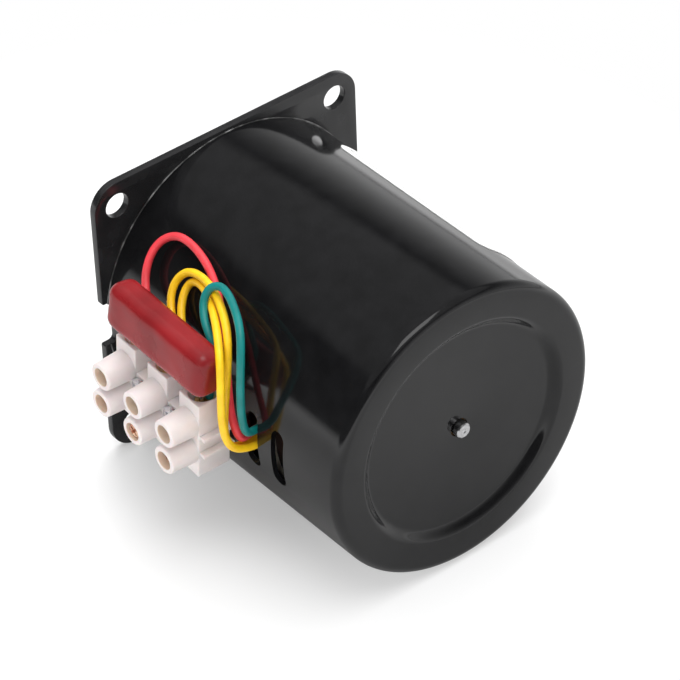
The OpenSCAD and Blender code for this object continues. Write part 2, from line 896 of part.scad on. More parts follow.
// A screw with its head's face at 0, its shank along -Z, and a tapered tip if it has one
module screw(head_r, head_t, shank_r, shank_len, tip) {
    difference() {
        translate([0, 0, -head_t]) cylinder(h = head_t, r = head_r);
        for (turn = [0, 90]) {
            rotate(turn + 45) cube([2 * head_r * cross_share, cross_w, 2 * cross_depth], center = true);
        }
    }
    translate([0, 0, -head_t - shank_len + tip]) cylinder(h = shank_len - tip, r = shank_r);
    if (tip > 0) {
        translate([0, 0, -head_t - shank_len]) cylinder(h = tip, r1 = clamp_tip_r, r2 = shank_r);
    }
}

// A clamp screw of one pole: its place along the strip, its row, and its depth in the chimney
module clamp_screw(a, b, sink) {
    on_strip() translate([sink - pole_depth - chimney_len, -a, b * chimney_pitch / 2])
        rotate([0, -90, 0])
            screw(clamp_head_r, clamp_head_t, clamp_shank_r, clamp_shank_len, clamp_tip);
}

// The shanks of the mounting screws on the strip, wider by a gap and longer by an overrun at each end
module mount_rods(gap, extra) {
    for (a = [-mount_off, mount_off]) {
        translate([can_r + strip_gap - mount_tip + extra, -a, mount_up]) rotate([0, -90, 0])
            cylinder(h = pole_depth + can_r + strip_gap - mount_tip + 2 * extra, r = mount_shank_r + gap);
    }
}

module mount_shanks(gap, extra) {
    on_strip() mount_rods(gap, extra);
}

module strip_screws() {
    color(zinc) {
        mount_shanks(0, 0);
        on_strip() for (a = [-mount_off, mount_off]) {
            translate([-pole_depth - mount_head_t, -a, mount_up]) rotate([0, -90, 0])
                screw(mount_head_r, mount_head_t, mount_shank_r, mount_head_t, 0);
        }
    }
}

module lead_clamp_screws() {
    color(zinc) for (a = poles) {
        clamp_screw(a, 1, lead_sink);
    }
}

module supply_screw_1() {
    color(copper) clamp_screw(poles[0], -1, supply_sink[0]);
}

module supply_screw_2() {
    color(copper) clamp_screw(poles[1], -1, supply_sink[1]);
}

module supply_screw_3() {
    color(copper) clamp_screw(poles[2], -1, supply_sink[2]);
}

module capacitor() {
    inner = [cap_t / 2 - cap_edge_r, cap_len / 2 - cap_edge_r, cap_h / 2 - cap_edge_r];
    color(cap_red) translate([-can_r - cap_out, -cap_y, cap_z]) rotate([cap_tilt, 0, 0]) rotate([0, cap_lean, 0])
        hull() for (x = [-1, 1], y = [-1, 1], z = [-1, 1]) {
            translate([x * inner[0], y * inner[1], z * inner[2]]) sphere(cap_edge_r, $fn = corner_fn);
        }
}

module capacitor_leads() {
    color(zinc) on_strip() for (a = [poles[0], poles[2]]) {
        translate([-cap_lead_c, -a, cap_lead_low]) cylinder(h = cap_lead_high - cap_lead_low, r = cap_lead_r);
    }
}

function unit(v) = v / norm(v);

// Direction of a route at one of its points
function along(p, i) = unit(p[min(i + 1, len(p) - 1)] - p[max(i - 1, 0)]);

// Sideways directions along a route, each turned as little as possible from the one before
function sideways(p) = [
    for (i = 0, s = unit(cross(along(p, 0), [0, 0, 1])); i < len(p);
        i = i + 1, t = along(p, min(i, len(p) - 1)), s = unit(s - (s * t) * t)) s
];

// A round lead swept along a route
module lead(route) {
    last = len(route) - 1;
    side = sideways(route);
    spots = [for (i = [0:last], k = [0:lead_sides - 1])
        let (a = 360 * k / lead_sides, t = along(route, i))
            route[i] + lead_d / 2 * (cos(a) * side[i] + sin(a) * cross(t, side[i]))];
    function spot(i, k) = i * lead_sides + k % lead_sides;
    polyhedron(spots, concat(
        [[for (k = [0:lead_sides - 1]) k]],
        [for (i = [0:last - 1], k = [0:lead_sides - 1]) [spot(i, k), spot(i + 1, k), spot(i + 1, k + 1)]],
        [for (i = [0:last - 1], k = [0:lead_sides - 1]) [spot(i, k), spot(i + 1, k + 1), spot(i, k + 1)]],
        [[for (k = [lead_sides - 1:-1:0]) spot(last, k)]]
    ));
}

// A route drawn out or in with the can
function round_can(route) = [for (p = route) [p[0] * can_r / route_can_r, p[1], p[2] * can_r / route_can_r]];

// The two points of a lead in the exit slot
function slot_points(depth, up) = [[-lead_start, -depth, up], [-slot_mouth, -depth, up]];

// The two points of a lead in a pole's entry
function entry_points(a, c) = [
    strip_point(a, pole_h / 2 - lead_drop, c),
    strip_point(a, insert_len / 2 + lead_seat, c)
];

// A whole lead: from its place in the slot along its route into a pole
module laid_lead(depth, up, route, a, c) {
    lead(concat(slot_points(depth, up), round_can(route), entry_points(a, c)));
}

module red_lead() {
    color(lead_red) laid_lead(near_col, red_up, red_route, poles[0], single_c);
}

module rear_yellow_lead() {
    color(lead_yellow) laid_lead(far_col, yellow_up, rear_yellow_route, pair_step, entry_c);
}

module front_yellow_lead() {
    color(lead_yellow) laid_lead(near_col, yellow_up, front_yellow_route, -pair_step, entry_c);
}

module green_lead() {
    color(lead_green) laid_lead(far_col, green_up, green_route, poles[2], single_c);
}

module label() {
    chord = 2 * can_r * sin(label_angle / 2);
    color(label_white) axial() intersection() {
        tube(can_r + seat + label_t, can_r + seat, label_y - over, label_y + label_len + over);
        rotate(label_top - label_angle / 2) translate([0, 0, label_y + label_len / 2]) rotate([0, 90, 0])
            linear_extrude(can_r + over) rounded_rect(label_len, chord, label_corner_r);
    }
}

can();
flange_plate();
gear_plate();
plate_posts();
first_arbor();
second_arbor();
first_cluster();
second_cluster();
output_gear();
output_shaft();
output_bush();
output_rear_bush();
output_washer();
retaining_ring();
rotor_shaft();
rotor_pinion();
rotor_hub();
rotor_magnet();
rotor_spacers();
rotor_front_bush();
rotor_rear_bush();
bearing_plate();
front_bobbin();
rear_bobbin();
front_coil();
rear_coil();
claw_plate_1();
claw_plate_2();
claw_plate_3();
claw_plate_4();
terminal_strip();
strip_inserts();
strip_screws();
lead_clamp_screws();
supply_screw_1();
supply_screw_2();
supply_screw_3();
capacitor();
capacitor_leads();
red_lead();
front_yellow_lead();
rear_yellow_lead();
green_lead();
label();
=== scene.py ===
import json
import math

import bmesh
import bpy
from mathutils import Matrix, Vector, noise


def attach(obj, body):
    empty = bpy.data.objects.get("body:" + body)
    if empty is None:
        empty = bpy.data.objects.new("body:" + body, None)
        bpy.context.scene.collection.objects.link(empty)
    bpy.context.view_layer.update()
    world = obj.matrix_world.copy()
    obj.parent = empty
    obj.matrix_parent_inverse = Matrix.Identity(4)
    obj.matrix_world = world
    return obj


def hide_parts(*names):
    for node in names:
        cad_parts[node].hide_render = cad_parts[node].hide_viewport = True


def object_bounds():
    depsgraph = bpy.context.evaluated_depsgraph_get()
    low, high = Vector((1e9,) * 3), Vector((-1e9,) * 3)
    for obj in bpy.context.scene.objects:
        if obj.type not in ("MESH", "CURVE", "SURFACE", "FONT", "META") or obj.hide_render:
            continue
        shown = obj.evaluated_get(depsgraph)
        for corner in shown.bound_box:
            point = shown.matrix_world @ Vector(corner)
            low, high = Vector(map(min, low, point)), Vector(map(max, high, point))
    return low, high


bl_info = {
    "name": "Synchronous Gear Motor",
    "version": (1, 0, 0),
    "blender": (4, 5, 0),
    "location": "View3D > Sidebar > Gear Motor",
    "description": "Dresses the packed gear motor: can, flange, shafts, strip, capacitor, leads and label",
    "category": "Object",
}

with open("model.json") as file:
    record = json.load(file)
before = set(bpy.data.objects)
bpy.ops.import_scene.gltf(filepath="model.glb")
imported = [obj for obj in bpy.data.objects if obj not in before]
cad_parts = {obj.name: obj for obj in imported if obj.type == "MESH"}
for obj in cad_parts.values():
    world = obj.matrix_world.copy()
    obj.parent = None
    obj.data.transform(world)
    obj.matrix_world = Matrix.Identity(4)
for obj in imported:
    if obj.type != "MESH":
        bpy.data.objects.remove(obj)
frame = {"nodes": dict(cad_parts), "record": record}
CAD_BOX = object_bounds()

# Lays a shape drawn along Z so that its Z runs back from the mounting face
AXIAL = Matrix.Rotation(math.radians(90), 4, "X")
# Turns a shape drawn along Z so that its Z points out of the strip
OUTWARD = Matrix.Rotation(math.radians(-90), 4, "Y")
# Turns a shape drawn along Z so that its Z points to the strip's side and its X along the can
SIDEWAYS = Matrix(((0, 0, -1, 0), (1, 0, 0, 0), (0, 1, 0, 0), (0, 0, 0, 1)))

# The leads' routes, from the can's slot to their pole, in metres
RED_ROUTE = (
    (-0.0268, -0.0432, 0.0007), (-0.0292, -0.0432, 0.0007), (-0.0315, -0.0445, 0.0013),
    (-0.0329, -0.0444, 0.0034), (-0.0322, -0.0419, 0.0077), (-0.0301, -0.0391, 0.0127),
    (-0.027, -0.0346, 0.0173), (-0.0241, -0.0296, 0.0202), (-0.0223, -0.0257, 0.0215),
    (-0.021, -0.0213, 0.0228), (-0.0204, -0.0159, 0.0233), (-0.021, -0.0128, 0.0228),
    (-0.0226, -0.011, 0.0215), (-0.0251, -0.0104, 0.0189), (-0.0279, -0.0122, 0.0148),
    (-0.0295, -0.0159, 0.013), (-0.031, -0.0173, 0.011), (-0.03195, -0.017658, 0.0092702),
    (-0.03195, -0.017493, 0.0073775),
)
REAR_YELLOW_ROUTE = (
    (-0.0268, -0.0448, -0.0012), (-0.0292, -0.0448, -0.0012), (-0.0329, -0.0452, 0.0002),
    (-0.0352, -0.0451, 0.0023), (-0.0359, -0.0445, 0.007), (-0.0352, -0.0439, 0.0135),
    (-0.033, -0.0413, 0.0207), (-0.0276, -0.0326, 0.0208), (-0.0248, -0.0268, 0.0208),
    (-0.024, -0.0223, 0.02), (-0.0255, -0.0211, 0.0176), (-0.0283, -0.0233, 0.0147),
    (-0.0299, -0.0266, 0.0126), (-0.0316, -0.0276, 0.0106), (-0.03285, -0.02767, 0.0083943),
    (-0.03285, -0.027505, 0.0065016),
)
FRONT_YELLOW_ROUTE = (
    (-0.0268, -0.0432, -0.0012), (-0.0292, -0.0432, -0.0012), (-0.0326, -0.0435, -0.0007),
    (-0.0344, -0.0435, 0.0016), (-0.0346, -0.0432, 0.006), (-0.0329, -0.0425, 0.0129),
    (-0.0303, -0.0403, 0.0202), (-0.028, -0.0363, 0.0219), (-0.0255, -0.0308, 0.0224),
    (-0.0243, -0.0258, 0.0224), (-0.0242, -0.021, 0.0215), (-0.0259, -0.0188, 0.0184),
    (-0.0282, -0.0201, 0.0151), (-0.0303, -0.0245, 0.0123), (-0.0317, -0.0258, 0.0106),
    (-0.03285, -0.025977, 0.0085425), (-0.03285, -0.025811, 0.0066497),
)
GREEN_ROUTE = (
    (-0.0268, -0.0448, 0.0023), (-0.0292, -0.0448, 0.0023), (-0.0321, -0.0461, 0.0037),
    (-0.0329, -0.0463, 0.0086), (-0.0327, -0.0462, 0.0151), (-0.0304, -0.0442, 0.0227),
    (-0.0284, -0.0409, 0.0243), (-0.0256, -0.0347, 0.025), (-0.0253, -0.0313, 0.0247),
    (-0.0266, -0.0297, 0.0234), (-0.0284, -0.0304, 0.0209), (-0.0301, -0.0337, 0.0183),
    (-0.0305, -0.0369, 0.016), (-0.031, -0.0371, 0.0123), (-0.0317, -0.0365, 0.0098),
    (-0.03195, -0.035988, 0.0076666), (-0.03195, -0.035823, 0.0057738),
)

# Centres across the axis, as (x, z): output shaft, first arbor, second arbor
OUTPUT_SPOT = (0, 0.01)
ARBOR_SPOTS = ((0.014095389, -0.005130302), (-0.000159432, -0.009799358))
# Places of the four posts, as shares of the can's inner radius
POST_SHARES = ((0.65, 0.6), (-0.65, 0.6), (-0.42, -0.8), (0.35, -0.83))


def size(name, description, default):
    """A length that the sidebar shows in the scene's unit."""
    return bpy.props.FloatProperty(
        name=name, description=description, default=default, min=0, precision=5,
        unit="LENGTH", subtype="DISTANCE",
    )


def colour(name, description, default):
    """A plain colour, linear red, green and blue."""
    return bpy.props.FloatVectorProperty(
        name=name, description=description, default=default, min=0, max=1, size=3, subtype="COLOR",
    )


def amount(name, description, default, unit="NONE"):
    """A number in a unit of its own, or without one."""
    return bpy.props.FloatProperty(name=name, description=description, default=default, min=0, unit=unit)


def fraction(name, description, default):
    """A share of a whole."""
    return bpy.props.FloatProperty(
        name=name, description=description, default=default, min=0, max=1, subtype="FACTOR",
    )


def turn(name, description, degrees):
    """An angle, given in degrees and kept in radians."""
    return bpy.props.FloatProperty(
        name=name, description=description, default=math.radians(degrees), unit="ROTATION", subtype="ANGLE",
    )


class CanSizes(bpy.types.PropertyGroup):
    """Sizes of the drawn can."""

    radius: size("Radius", "Outer radius of the can", 0.0293)
    wall: size("Wall", "Thickness of the can's wall", 0.001)
    rear: size("Rear rim", "Depth of the rear rim behind the mounting face", 0.0674)
    edge: size("Edge radius", "Outer radius of the rear edge", 0.0018)
    dish_radius: size("Dish radius", "Radius of the dished middle at its rim", 0.0225)
    dish_depth: size("Dish depth", "Depth of the dish", 0.0016)
    dish_slope: size("Dish slope", "Width of the dish's sloping wall", 0.0015)
    dish_ease: size("Dish ease", "How far the slope's soft shoulders reach past it", 0.0006)
    # The seam's bead carries a painted highlight: a light line where the can meets the flange
    seam: size("Seam", "Thickness of the worn seam between can and flange", 0.00028)
    hole: size("Shaft hole", "Radius of the hole round the rotor shaft", 0.0018)
    slot_width: size("Slot width", "Width of the lead slots", 0.0034)
    slot_height: size("Slot height", "Height of the lead slots", 0.012)
    slot_drop: size("Slot drop", "Height of the slots' middle below the axis", 0.0004)
    exit_depth: size("Exit slot", "Depth of the slot that the leads leave by", 0.044)
    slot_gap: size("Slot gap", "Distance from the exit slot to the second slot", 0.0072)
    rim_cut: size("Rim cut", "Depth of the rim's cut behind each flange notch", 0.0025)
    tab_inset: size("Tab inset", "How much thinner a tab is than the wall, on each side", 0.0001)
    tab_angle: turn("Tab angle", "Width of each tab through the flange", 16)


class FlangeSizes(bpy.types.PropertyGroup):
    """Sizes of the square flange."""

    side: size("Side", "Side of the square", 0.06)
    thickness: size("Thickness", "Thickness of the plate", 0.0015)
    corner: size("Corner radius", "Radius of the corners", 0.0052)
    hole_pitch: size("Hole pitch", "Spacing of the mounting holes", 0.05)
    hole_radius: size("Hole radius", "Radius of the mounting holes", 0.00245)
    notch_height: size("Notch height", "Height of the notch in each side", 0.0094)
    notch_depth: size("Notch depth", "Depth of the notch", 0.0025)
    notch_corner: size("Notch corner", "Rounding of the notch's inner corners", 0.001)
    edge: size("Edge", "Rounding of the pressed edges", 0.00012)
    case_depth: size("Gear plate", "Depth of the gear plate's rear face", 0.0247)
    case_plate: size("Gear plate thickness", "Thickness of the gear plate", 0.0012)


class ShaftSizes(bpy.types.PropertyGroup):
    """Sizes of the shafts, bushes, posts and arbors."""

    output_radius: size("Output radius", "Radius of the output shaft", 0.004)
    output_length: size("Output length", "How far the shaft stands out of the flange", 0.018)
    flat_level: size("Flat level", "Distance from the shaft's axis to its flat", 0.003)
    flat_length: size("Flat length", "Length of the flat", 0.012)
    relief: size("Relief", "Depth of the turned relief at the flat's end", 0.0002)
    relief_width: size("Relief width", "Width of the relief", 0.0004)
    shoulder: size("Shoulder", "Depth where the shaft steps down to its journal", 0.0105)
    journal: size("Journal radius", "Radius of the rear journal", 0.003)
    tail: size("Tail", "Depth of the journal's end", 0.0243)
    groove: size("Groove radius", "Radius of the shaft in the ring's groove", 0.0035)
    bush_radius: size("Boss radius", "Radius of the output bush's boss", 0.0065)
    bush_body: size("Bush radius", "Radius of the bush in the flange", 0.0055)
    bush_out: size("Boss length", "How far the boss stands out", 0.003)
    bush_in: size("Bush length", "Depth of the bush's rear face", 0.005)
    ring_radius: size("Ring radius", "Outer radius of the retaining ring", 0.0056)
    ring_thickness: size("Ring thickness", "Thickness of the retaining ring", 0.0008)
    play: size("End play", "Gap between the boss and the ring", 0.0001)
    chamfer: size("Chamfer", "Chamfer of the shafts' ends and of the boss", 0.0004)
    edge: size("Edge", "Rounding of the other turned edges", 0.0002)
    rotor_radius: size("Rotor shaft radius", "Radius of the rotor shaft", 0.0015)
    rotor_front: size("Rotor shaft front", "Depth of the rotor shaft's front end", 0.0163)
    rotor_end: size("Rotor shaft end", "Depth of the rotor shaft's rear end", 0.0672)
    post_radius: size("Post radius", "Radius of the posts", 0.0024)
    rivet_radius: size("Rivet radius", "Radius of the posts' rivet ends", 0.0015)
    arbor_radius: size("Arbor radius", "Radius of the arbors", 0.001)


class StripSizes(bpy.types.PropertyGroup):
    """Sizes of the terminal strip and its screws."""

    gap: size("Gap", "Gap between the strip's base and the can", 0.00015)
    depth: size("Place", "Depth of the strip's middle behind the mounting face", 0.0261)
    up: size("Height", "Height of the strip's middle above the axis", 0.0002)
    tilt: turn("Tilt", "Tilt of the strip, rear end down", 5)
    pitch: size("Pole pitch", "Distance from pole to pole", 0.0092)
    pole_width: size("Pole width", "Width of a pole's body", 0.0057)
    pole_height: size("Pole height", "Height of a pole's body", 0.017)
    pole_depth: size("Pole depth", "Depth of a pole's body", 0.0071)
    chimney_length: size("Chimney length", "Length of the chimneys", 0.0056)
    chimney_pitch: size("Chimney pitch", "Distance between a pole's two chimneys", 0.0064)
    foot: size("Chimney foot", "Radius of a chimney at its foot", 0.00295)
    mouth: size("Chimney mouth", "Radius of a chimney at its mouth", 0.0027)
    bore: size("Chimney bore", "Radius of a chimney's hole", 0.00175)
    entry: size("Entry", "Distance of the wire entries above the base", 0.0034)
    entry_mouth: size("Entry mouth", "Radius of a wire entry at its mouth", 0.0025)
    entry_bore: size("Entry bore", "Radius of the hole for the brass insert", 0.00195)
    insert_length: size("Insert length", "Length of the brass insert", 0.0124)
    web_below: size("Web below", "How far the web reaches below the strip's middle", 0.0033)
    web_above: size("Web above", "How far the web reaches above the strip's middle", 0.0031)
    rib: size("Rib length", "Length of the cut ribs past the end poles", 0.0013)
    rib_thickness: size("Rib thickness", "Thickness of the cut ribs", 0.0007)
    rib_depth: size("Rib depth", "Depth of the cut ribs", 0.0068)
    rib_up: size("Rib height", "Height of the upper rib above the strip's middle", 0.0006)
    flare: fraction("Flare", "How much wider the wire entries open outwards", 0.3)
    edge: size("Edge", "Rounding of the moulding's edges", 0.00025)
    head: size("Clamp head radius", "Radius of the clamp screws' heads", 0.0016)
    head_height: size("Clamp head height", "Height of the clamp screws' heads", 0.0014)
    shank: size("Clamp shank radius", "Radius of the clamp screws' shanks", 0.0011)
    shank_length: size("Clamp shank length", "Length of the clamp screws' shanks", 0.0056)
    tip: size("Tip", "Height and end radius of the screws' tapered tips", 0.0006)
    lead_sink: size("Lead screw depth", "Depth of the lead screws below their mouths", 0.0026)
    end_sink: size("End screw depth", "Depth of the end poles' supply screws", 0.0012)
    middle_sink: size("Middle screw depth", "Depth of the middle pole's supply screw", 0.0004)
    mount_up: size("Mount place", "Height of the mounting screws above the strip's middle", 0.0009)
    mount_head: size("Mount head radius", "Radius of the mounting screws' heads", 0.0021)
    mount_height: size("Mount head height", "Height of the mounting screws' heads", 0.001)
    mount_shank: size("Mount shank radius", "Radius of the mounting screws' shanks", 0.0012)
    mount_tip: size("Mount tip", "Distance from the can's axis to the mounting screws' tips", 0.027)


class CapacitorSizes(bpy.types.PropertyGroup):
    """Sizes of the dipped capacitor."""

    length: size("Length", "Length of the body", 0.0278)
    height: size("Height", "Height of the body", 0.0096)
    thickness: size("Thickness", "Thickness of the body", 0.0064)
    edge: size("Edge", "Rounding of the body's edges", 0.0024)
    swell: size("Swell", "How far the coating swells and sinks", 0.00012)
    lean: turn("Lean", "Lean of the body's top towards the can", 7)
    tilt: turn("Tilt", "Tilt of the body, rear end down", 3)
    side: size("Side place", "Distance of the body's middle from the can's axis", 0.0348)
    depth: size("Depth", "Depth of the body's middle behind the mounting face", 0.0275)
    up: size("Height place", "Height of the body's middle above the axis", 0.0156)


class LeadSizes(bpy.types.PropertyGroup):
    """Sizes of the covered leads."""

    diameter: size("Diameter", "Diameter of the covered leads", 0.0015)
    steps: bpy.props.IntProperty(
        name="Steps", description="Points between two route points", default=6, min=2,
    )


class LabelSizes(bpy.types.PropertyGroup):
    """Sizes of the paper label."""

    top: turn("Upper edge", "Angle of the upper edge, from the +X side upwards", 55)
    sweep: turn("Sweep", "Angle that the label goes round the can", 88)
    start: size("Start", "Depth of the front edge", 0.0116)
    length: size("Length", "Length along the can", 0.042)
    corner: size("Corner", "Radius of the corners", 0.003)
    lift: size("Lift", "Gap under the label", 0.00002)
    thickness: size("Thickness", "Thickness of the label", 0.00015)
    line: size("Line", "Width of the printed lines", 0.00022)


class Finishes(bpy.types.PropertyGroup):
    """Colours of the finishes."""

    black_paint: colour("Black paint", "Gloss black of the can", (0.006, 0.006, 0.0065))
    flange_paint: colour("Flange paint", "Duller black of the flange", (0.016, 0.016, 0.017))
    # Painted shade: the darker, warmer tone inside the strip's holes, where less light reaches
    strip_inside: colour("Strip inside", "Tone down inside the strip's holes", (0.66, 0.53, 0.42))
    # Painted highlight: a light grey for the bright line along the can's foot, at the flange
    worn_edge: colour("Worn edge", "Thin worn seam round the can's foot", (0.16, 0.16, 0.16))
    zinc: colour("Zinc", "Plated plates and screws", (0.78, 0.79, 0.81))
    steel: colour("Steel", "Ground shafts and pins", (0.6, 0.6, 0.61))
    brass: colour("Brass", "Inserts and pinion", (0.72, 0.52, 0.22))
    bronze: colour("Bronze", "Sintered bushes", (0.42, 0.26, 0.13))
    copper: colour("Copper", "Lacquered wire of the windings", (0.06, 0.022, 0.012))
    plating: colour("Plating", "Copper plating of the supply screws", (0.8, 0.34, 0.2))
    plating_light: colour("Light plating", "Worn bright spots of that plating", (0.9, 0.6, 0.42))
    nylon: colour("Nylon", "Bobbins and gear clusters", (0.78, 0.74, 0.64))
    strip_plastic: colour("Strip", "Moulding of the terminal strip", (0.74, 0.68, 0.67))
    ferrite: colour("Ferrite", "Magnet", (0.03, 0.03, 0.034))
    capacitor_coat: colour("Capacitor", "Dipped coat of the capacitor", (0.235, 0.011, 0.014))
    red_cover: colour("Red lead", "Cover of the red lead", (0.74, 0.05, 0.065))
    yellow_cover: colour("Yellow leads", "Cover of the yellow leads", (0.95, 0.56, 0.01))
    green_cover: colour("Green lead", "Cover of the green lead", (0.002, 0.2, 0.19))
    paper: colour("Label", "Face of the label", (0.86, 0.86, 0.85))
    ink: colour("Ink", "Printed lines of the label", (0.03, 0.03, 0.03))


class StageLook(bpy.types.PropertyGroup):
    """The floor, the lamps and the camera."""

    floor: fraction("Floor", "Brightness of the floor", 0.92)
    sky: amount("Sky", "Strength of the even light all round", 0.45)
    ceiling: amount("Ceiling", "Strength of the even light that gloss shows overhead", 0.3)
    top: amount("Top lamp", "Power of the wide lamp overhead", 13, "POWER")
    key: amount("Key lamp", "Power of the small lamp overhead that gloss shows", 1.6, "POWER")
    right: amount("Right lamp", "Power of the soft lamp at the right", 4, "POWER")
    left: amount("Left lamp", "Power of the soft lamp at the left", 1.6, "POWER")
    white: fraction("White", "Share of plain white that the camera sees on the floor near the motor", 0.3)
    fade: size("Fade", "Where the shadow on the floor starts to fade", 0.05)
    clear: size("Clear", "Where the floor is plain white to the camera", 0.125)
    # Painted shade: gloss sees the floor round the motor dimmer, from Sheen near it up to full sheen further
    # out, on top of its real shadow
    sheen: fraction("Sheen", "Brightness of the floor that gloss sees round the motor", 0.5)
    near: size("Sheen start", "Where that floor starts to brighten", 0.15)
    middle: size("Sheen end", "Where gloss sees the floor at its brightest", 0.4)
    backdrop: amount("Backdrop", "Strength of the backdrop's foot that gloss sees", 1)
    gap: fraction("Gap", "Height of the dark gap between backdrop and ceiling, as a share", 0.56)
    lens: amount("Lens", "Focal length of the camera, in millimetres", 216.63, "CAMERA")


# Nodes


def feed(tree, node, inputs):
    """Sets a node's inputs, by name or number: an output is linked, and a plain value is kept."""
    for key, value in inputs.items():
        if isinstance(value, bpy.types.NodeSocket):
            tree.links.new(value, node.inputs[key])
        else:
            node.inputs[key].default_value = value
    return node


def add(tree, kind, inputs=None, **fields):
    """Adds a node, with its fields and its inputs."""
    node = tree.nodes.new(kind)
    for field, value in fields.items():
        setattr(node, field, value)
    return feed(tree, node, inputs or {})


def calc(tree, operation, first, second):
    """One step of arithmetic."""
    return add(tree, "ShaderNodeMath", {0: first, 1: second}, operation=operation).outputs["Value"]


def spread(tree, value, low, high, out_low, out_high):
    """Maps a value from one range to another, and stops at its ends."""
    ends = {"From Min": low, "From Max": high, "To Min": out_low, "To Max": out_high}
    return add(tree, "ShaderNodeMapRange", {"Value": value, **ends}).outputs["Result"]


def mixed(tree, share, first, second):
    """Two shaders mixed by a share."""
    return add(tree, "ShaderNodeMixShader", {"Fac": share, 1: first, 2: second}).outputs["Shader"]


def bare_tree(owner):
    """The emptied node tree of a material or a world."""
    owner.use_nodes = True
    owner.node_tree.nodes.clear()
    return owner.node_tree


# Finishes


EVEN = (1, 1, 1)
# Spans of the noise that the spots and the smears are made of, and the smears' scale as a share of the spots'
SPOT_SPAN, SMEAR_SPAN, SMEAR_SCALE = (0.3, 0.7), (0.25, 0.75), 0.37
SPOT_DETAIL, SMEAR_DETAIL, RELIEF_DETAIL = 4, 5, 3
SMOOTHEST = 0.02
# Bands of the wound wire, and the height of a turn
WIRE_SCALE, WIRE_WOBBLE, WIRE_HEIGHT = 1500, 0.6, 5e-5
METAL = {"Metallic": 0.8}
GROUND = dict(rough=0.26, spots=1300, stretch=(1, 0.12, 1), bumps=((2600, 4e-6),), bump_stretch=(1, 0.1, 1))
COVER = dict(rough=0.38, spots=420, dark=0.9, light=1.1, bumps=((1100, 4e-6),))
# How each finish departs from the plain one, under the name of its colour
LOOKS = {
    "black_paint": dict(
        rough=0.115, spots=260, rough_span=0.03, dark=0.8, light=1.25, bumps=((70, 3e-5), (1500, 2.2e-6)),
        sockets={"Specular IOR Level": 0.42}),
    "zinc": dict(GROUND, sockets={"Metallic": 0.85}),
    "steel": dict(GROUND, sockets={"Metallic": 1.0}),
    "flange_paint": dict(rough=0.2, spots=260, dark=0.8, light=1.2, bumps=((1500, 3e-6),)),
    # Painted highlight of the seam at the can's foot
    "worn_edge": dict(rough=0.4, spots=420, dark=0.15, light=1.6, dark_part=0.3),
    "brass": dict(rough=0.28, spots=1800, bumps=((3200, 5e-6),), sockets=METAL),
    "bronze": dict(rough=0.42, spots=1800, bumps=((3200, 5e-6),), sockets=METAL),
    "copper": dict(rough=0.34, spots=1800, sockets={"Metallic": 0.7}),
    "plating": dict(
        rough=0.24, spots=700, dark=0.8, light=1.2, other="plating_light", bumps=((3200, 5e-6),),
        sockets={"Metallic": 0.65}),
    "nylon": dict(rough=0.5, spots=500, bumps=((1800, 4e-6),)),
    "strip_plastic": dict(
        rough=0.4, spots=320, dark=0.96, light=1.03, bumps=((900, 6e-6),),
        sockets={"Subsurface Weight": 0.15, "Subsurface Scale": 0.0012}),
    "ferrite": dict(rough=0.6, spots=2200, bumps=((4200, 8e-6),)),
    "capacitor_coat": dict(
        rough=0.27, spots=130, dark=0.8, light=1.15, bumps=((190, 6e-5), (1300, 4e-6)),
        sockets={"Specular IOR Level": 0.4}),
    "red_cover": COVER,
    "yellow_cover": COVER,
    "green_cover": COVER,
    "paper": dict(rough=0.38, spots=1500, dark=0.97, light=1.02, bumps=((2400, 2.5e-6),)),
    "ink": dict(rough=0.45, spots=2600, bumps=((2600, 2e-6),)),
}


def grain(tree, scale, detail, stretch):
    """Noise on Object coordinates, stretched along an axis."""
    where = add(tree, "ShaderNodeTexCoord")
    mapping = add(tree, "ShaderNodeMapping", {"Vector": where.outputs["Object"], "Scale": stretch})
    inputs = {"Vector": mapping.outputs["Vector"], "Scale": scale, "Detail": detail}
    return add(tree, "ShaderNodeTexNoise", inputs).outputs["Fac"]


def tone(shade, share):
    """A colour made darker or lighter by a share."""
    return (*(min(1.0, channel * share) for channel in shade), 1)


def finish(name, rough, spots, rough_span=0.06, dark=0.85, light=1.12, dark_part=0.075, other=None,
           stretch=EVEN, bumps=(), bump_stretch=EVEN, sockets=None):
    """A finish whose colour, roughness and relief vary.

    Its spots go from dark to light shares of its colour, or to the other colour; bumps are (scale, height).
    """
    if name in bpy.data.materials:
        bpy.data.materials[name].name = name + "_packed"
    material = bpy.data.materials.new(name)
    material.use_nodes = True
    tree, shades = material.node_tree, bpy.context.scene.motor_finishes
    patch = spread(tree, grain(tree, spots, SPOT_DETAIL, stretch), *SPOT_SPAN, 0, 1)
    ramp = add(tree, "ShaderNodeValToRGB", {"Fac": patch})
    first, last = ramp.color_ramp.elements
    first.color, last.color = tone(getattr(shades, name), dark), tone(getattr(shades, other or name), light)
    first.position = dark_part
    smear = spread(tree, grain(tree, SMEAR_SCALE * spots, SMEAR_DETAIL, stretch), *SMEAR_SPAN,
                   max(SMOOTHEST, rough - rough_span), rough + rough_span)
    relief = {}
    for scale, height in bumps:
        bump = grain(tree, scale, RELIEF_DETAIL, bump_stretch)
        inputs = {"Height": bump, "Distance": height, "Strength": 1, **relief}
        relief = {"Normal": add(tree, "ShaderNodeBump", inputs).outputs["Normal"]}
    feed(tree, tree.nodes["Principled BSDF"], {
        "Base Color": ramp.outputs["Color"], "Roughness": smear, **relief, **(sockets or {}),
    })
    return material


def paint_shade_by_attribute(material, attribute, shade):
    """Gives the faces that hold an attribute another colour: a painted shade, darker where less light
    reaches.
    """
    tree = material.node_tree
    base = tree.nodes["Principled BSDF"].inputs["Base Color"]
    held = add(tree, "ShaderNodeAttribute", attribute_name=attribute)
    inputs = {"Factor": held.outputs["Fac"], 6: base.links[0].from_socket, 7: (*shade, 1)}
    mix = add(tree, "ShaderNodeMix", inputs, data_type="RGBA")
    tree.links.new(mix.outputs[2], base)


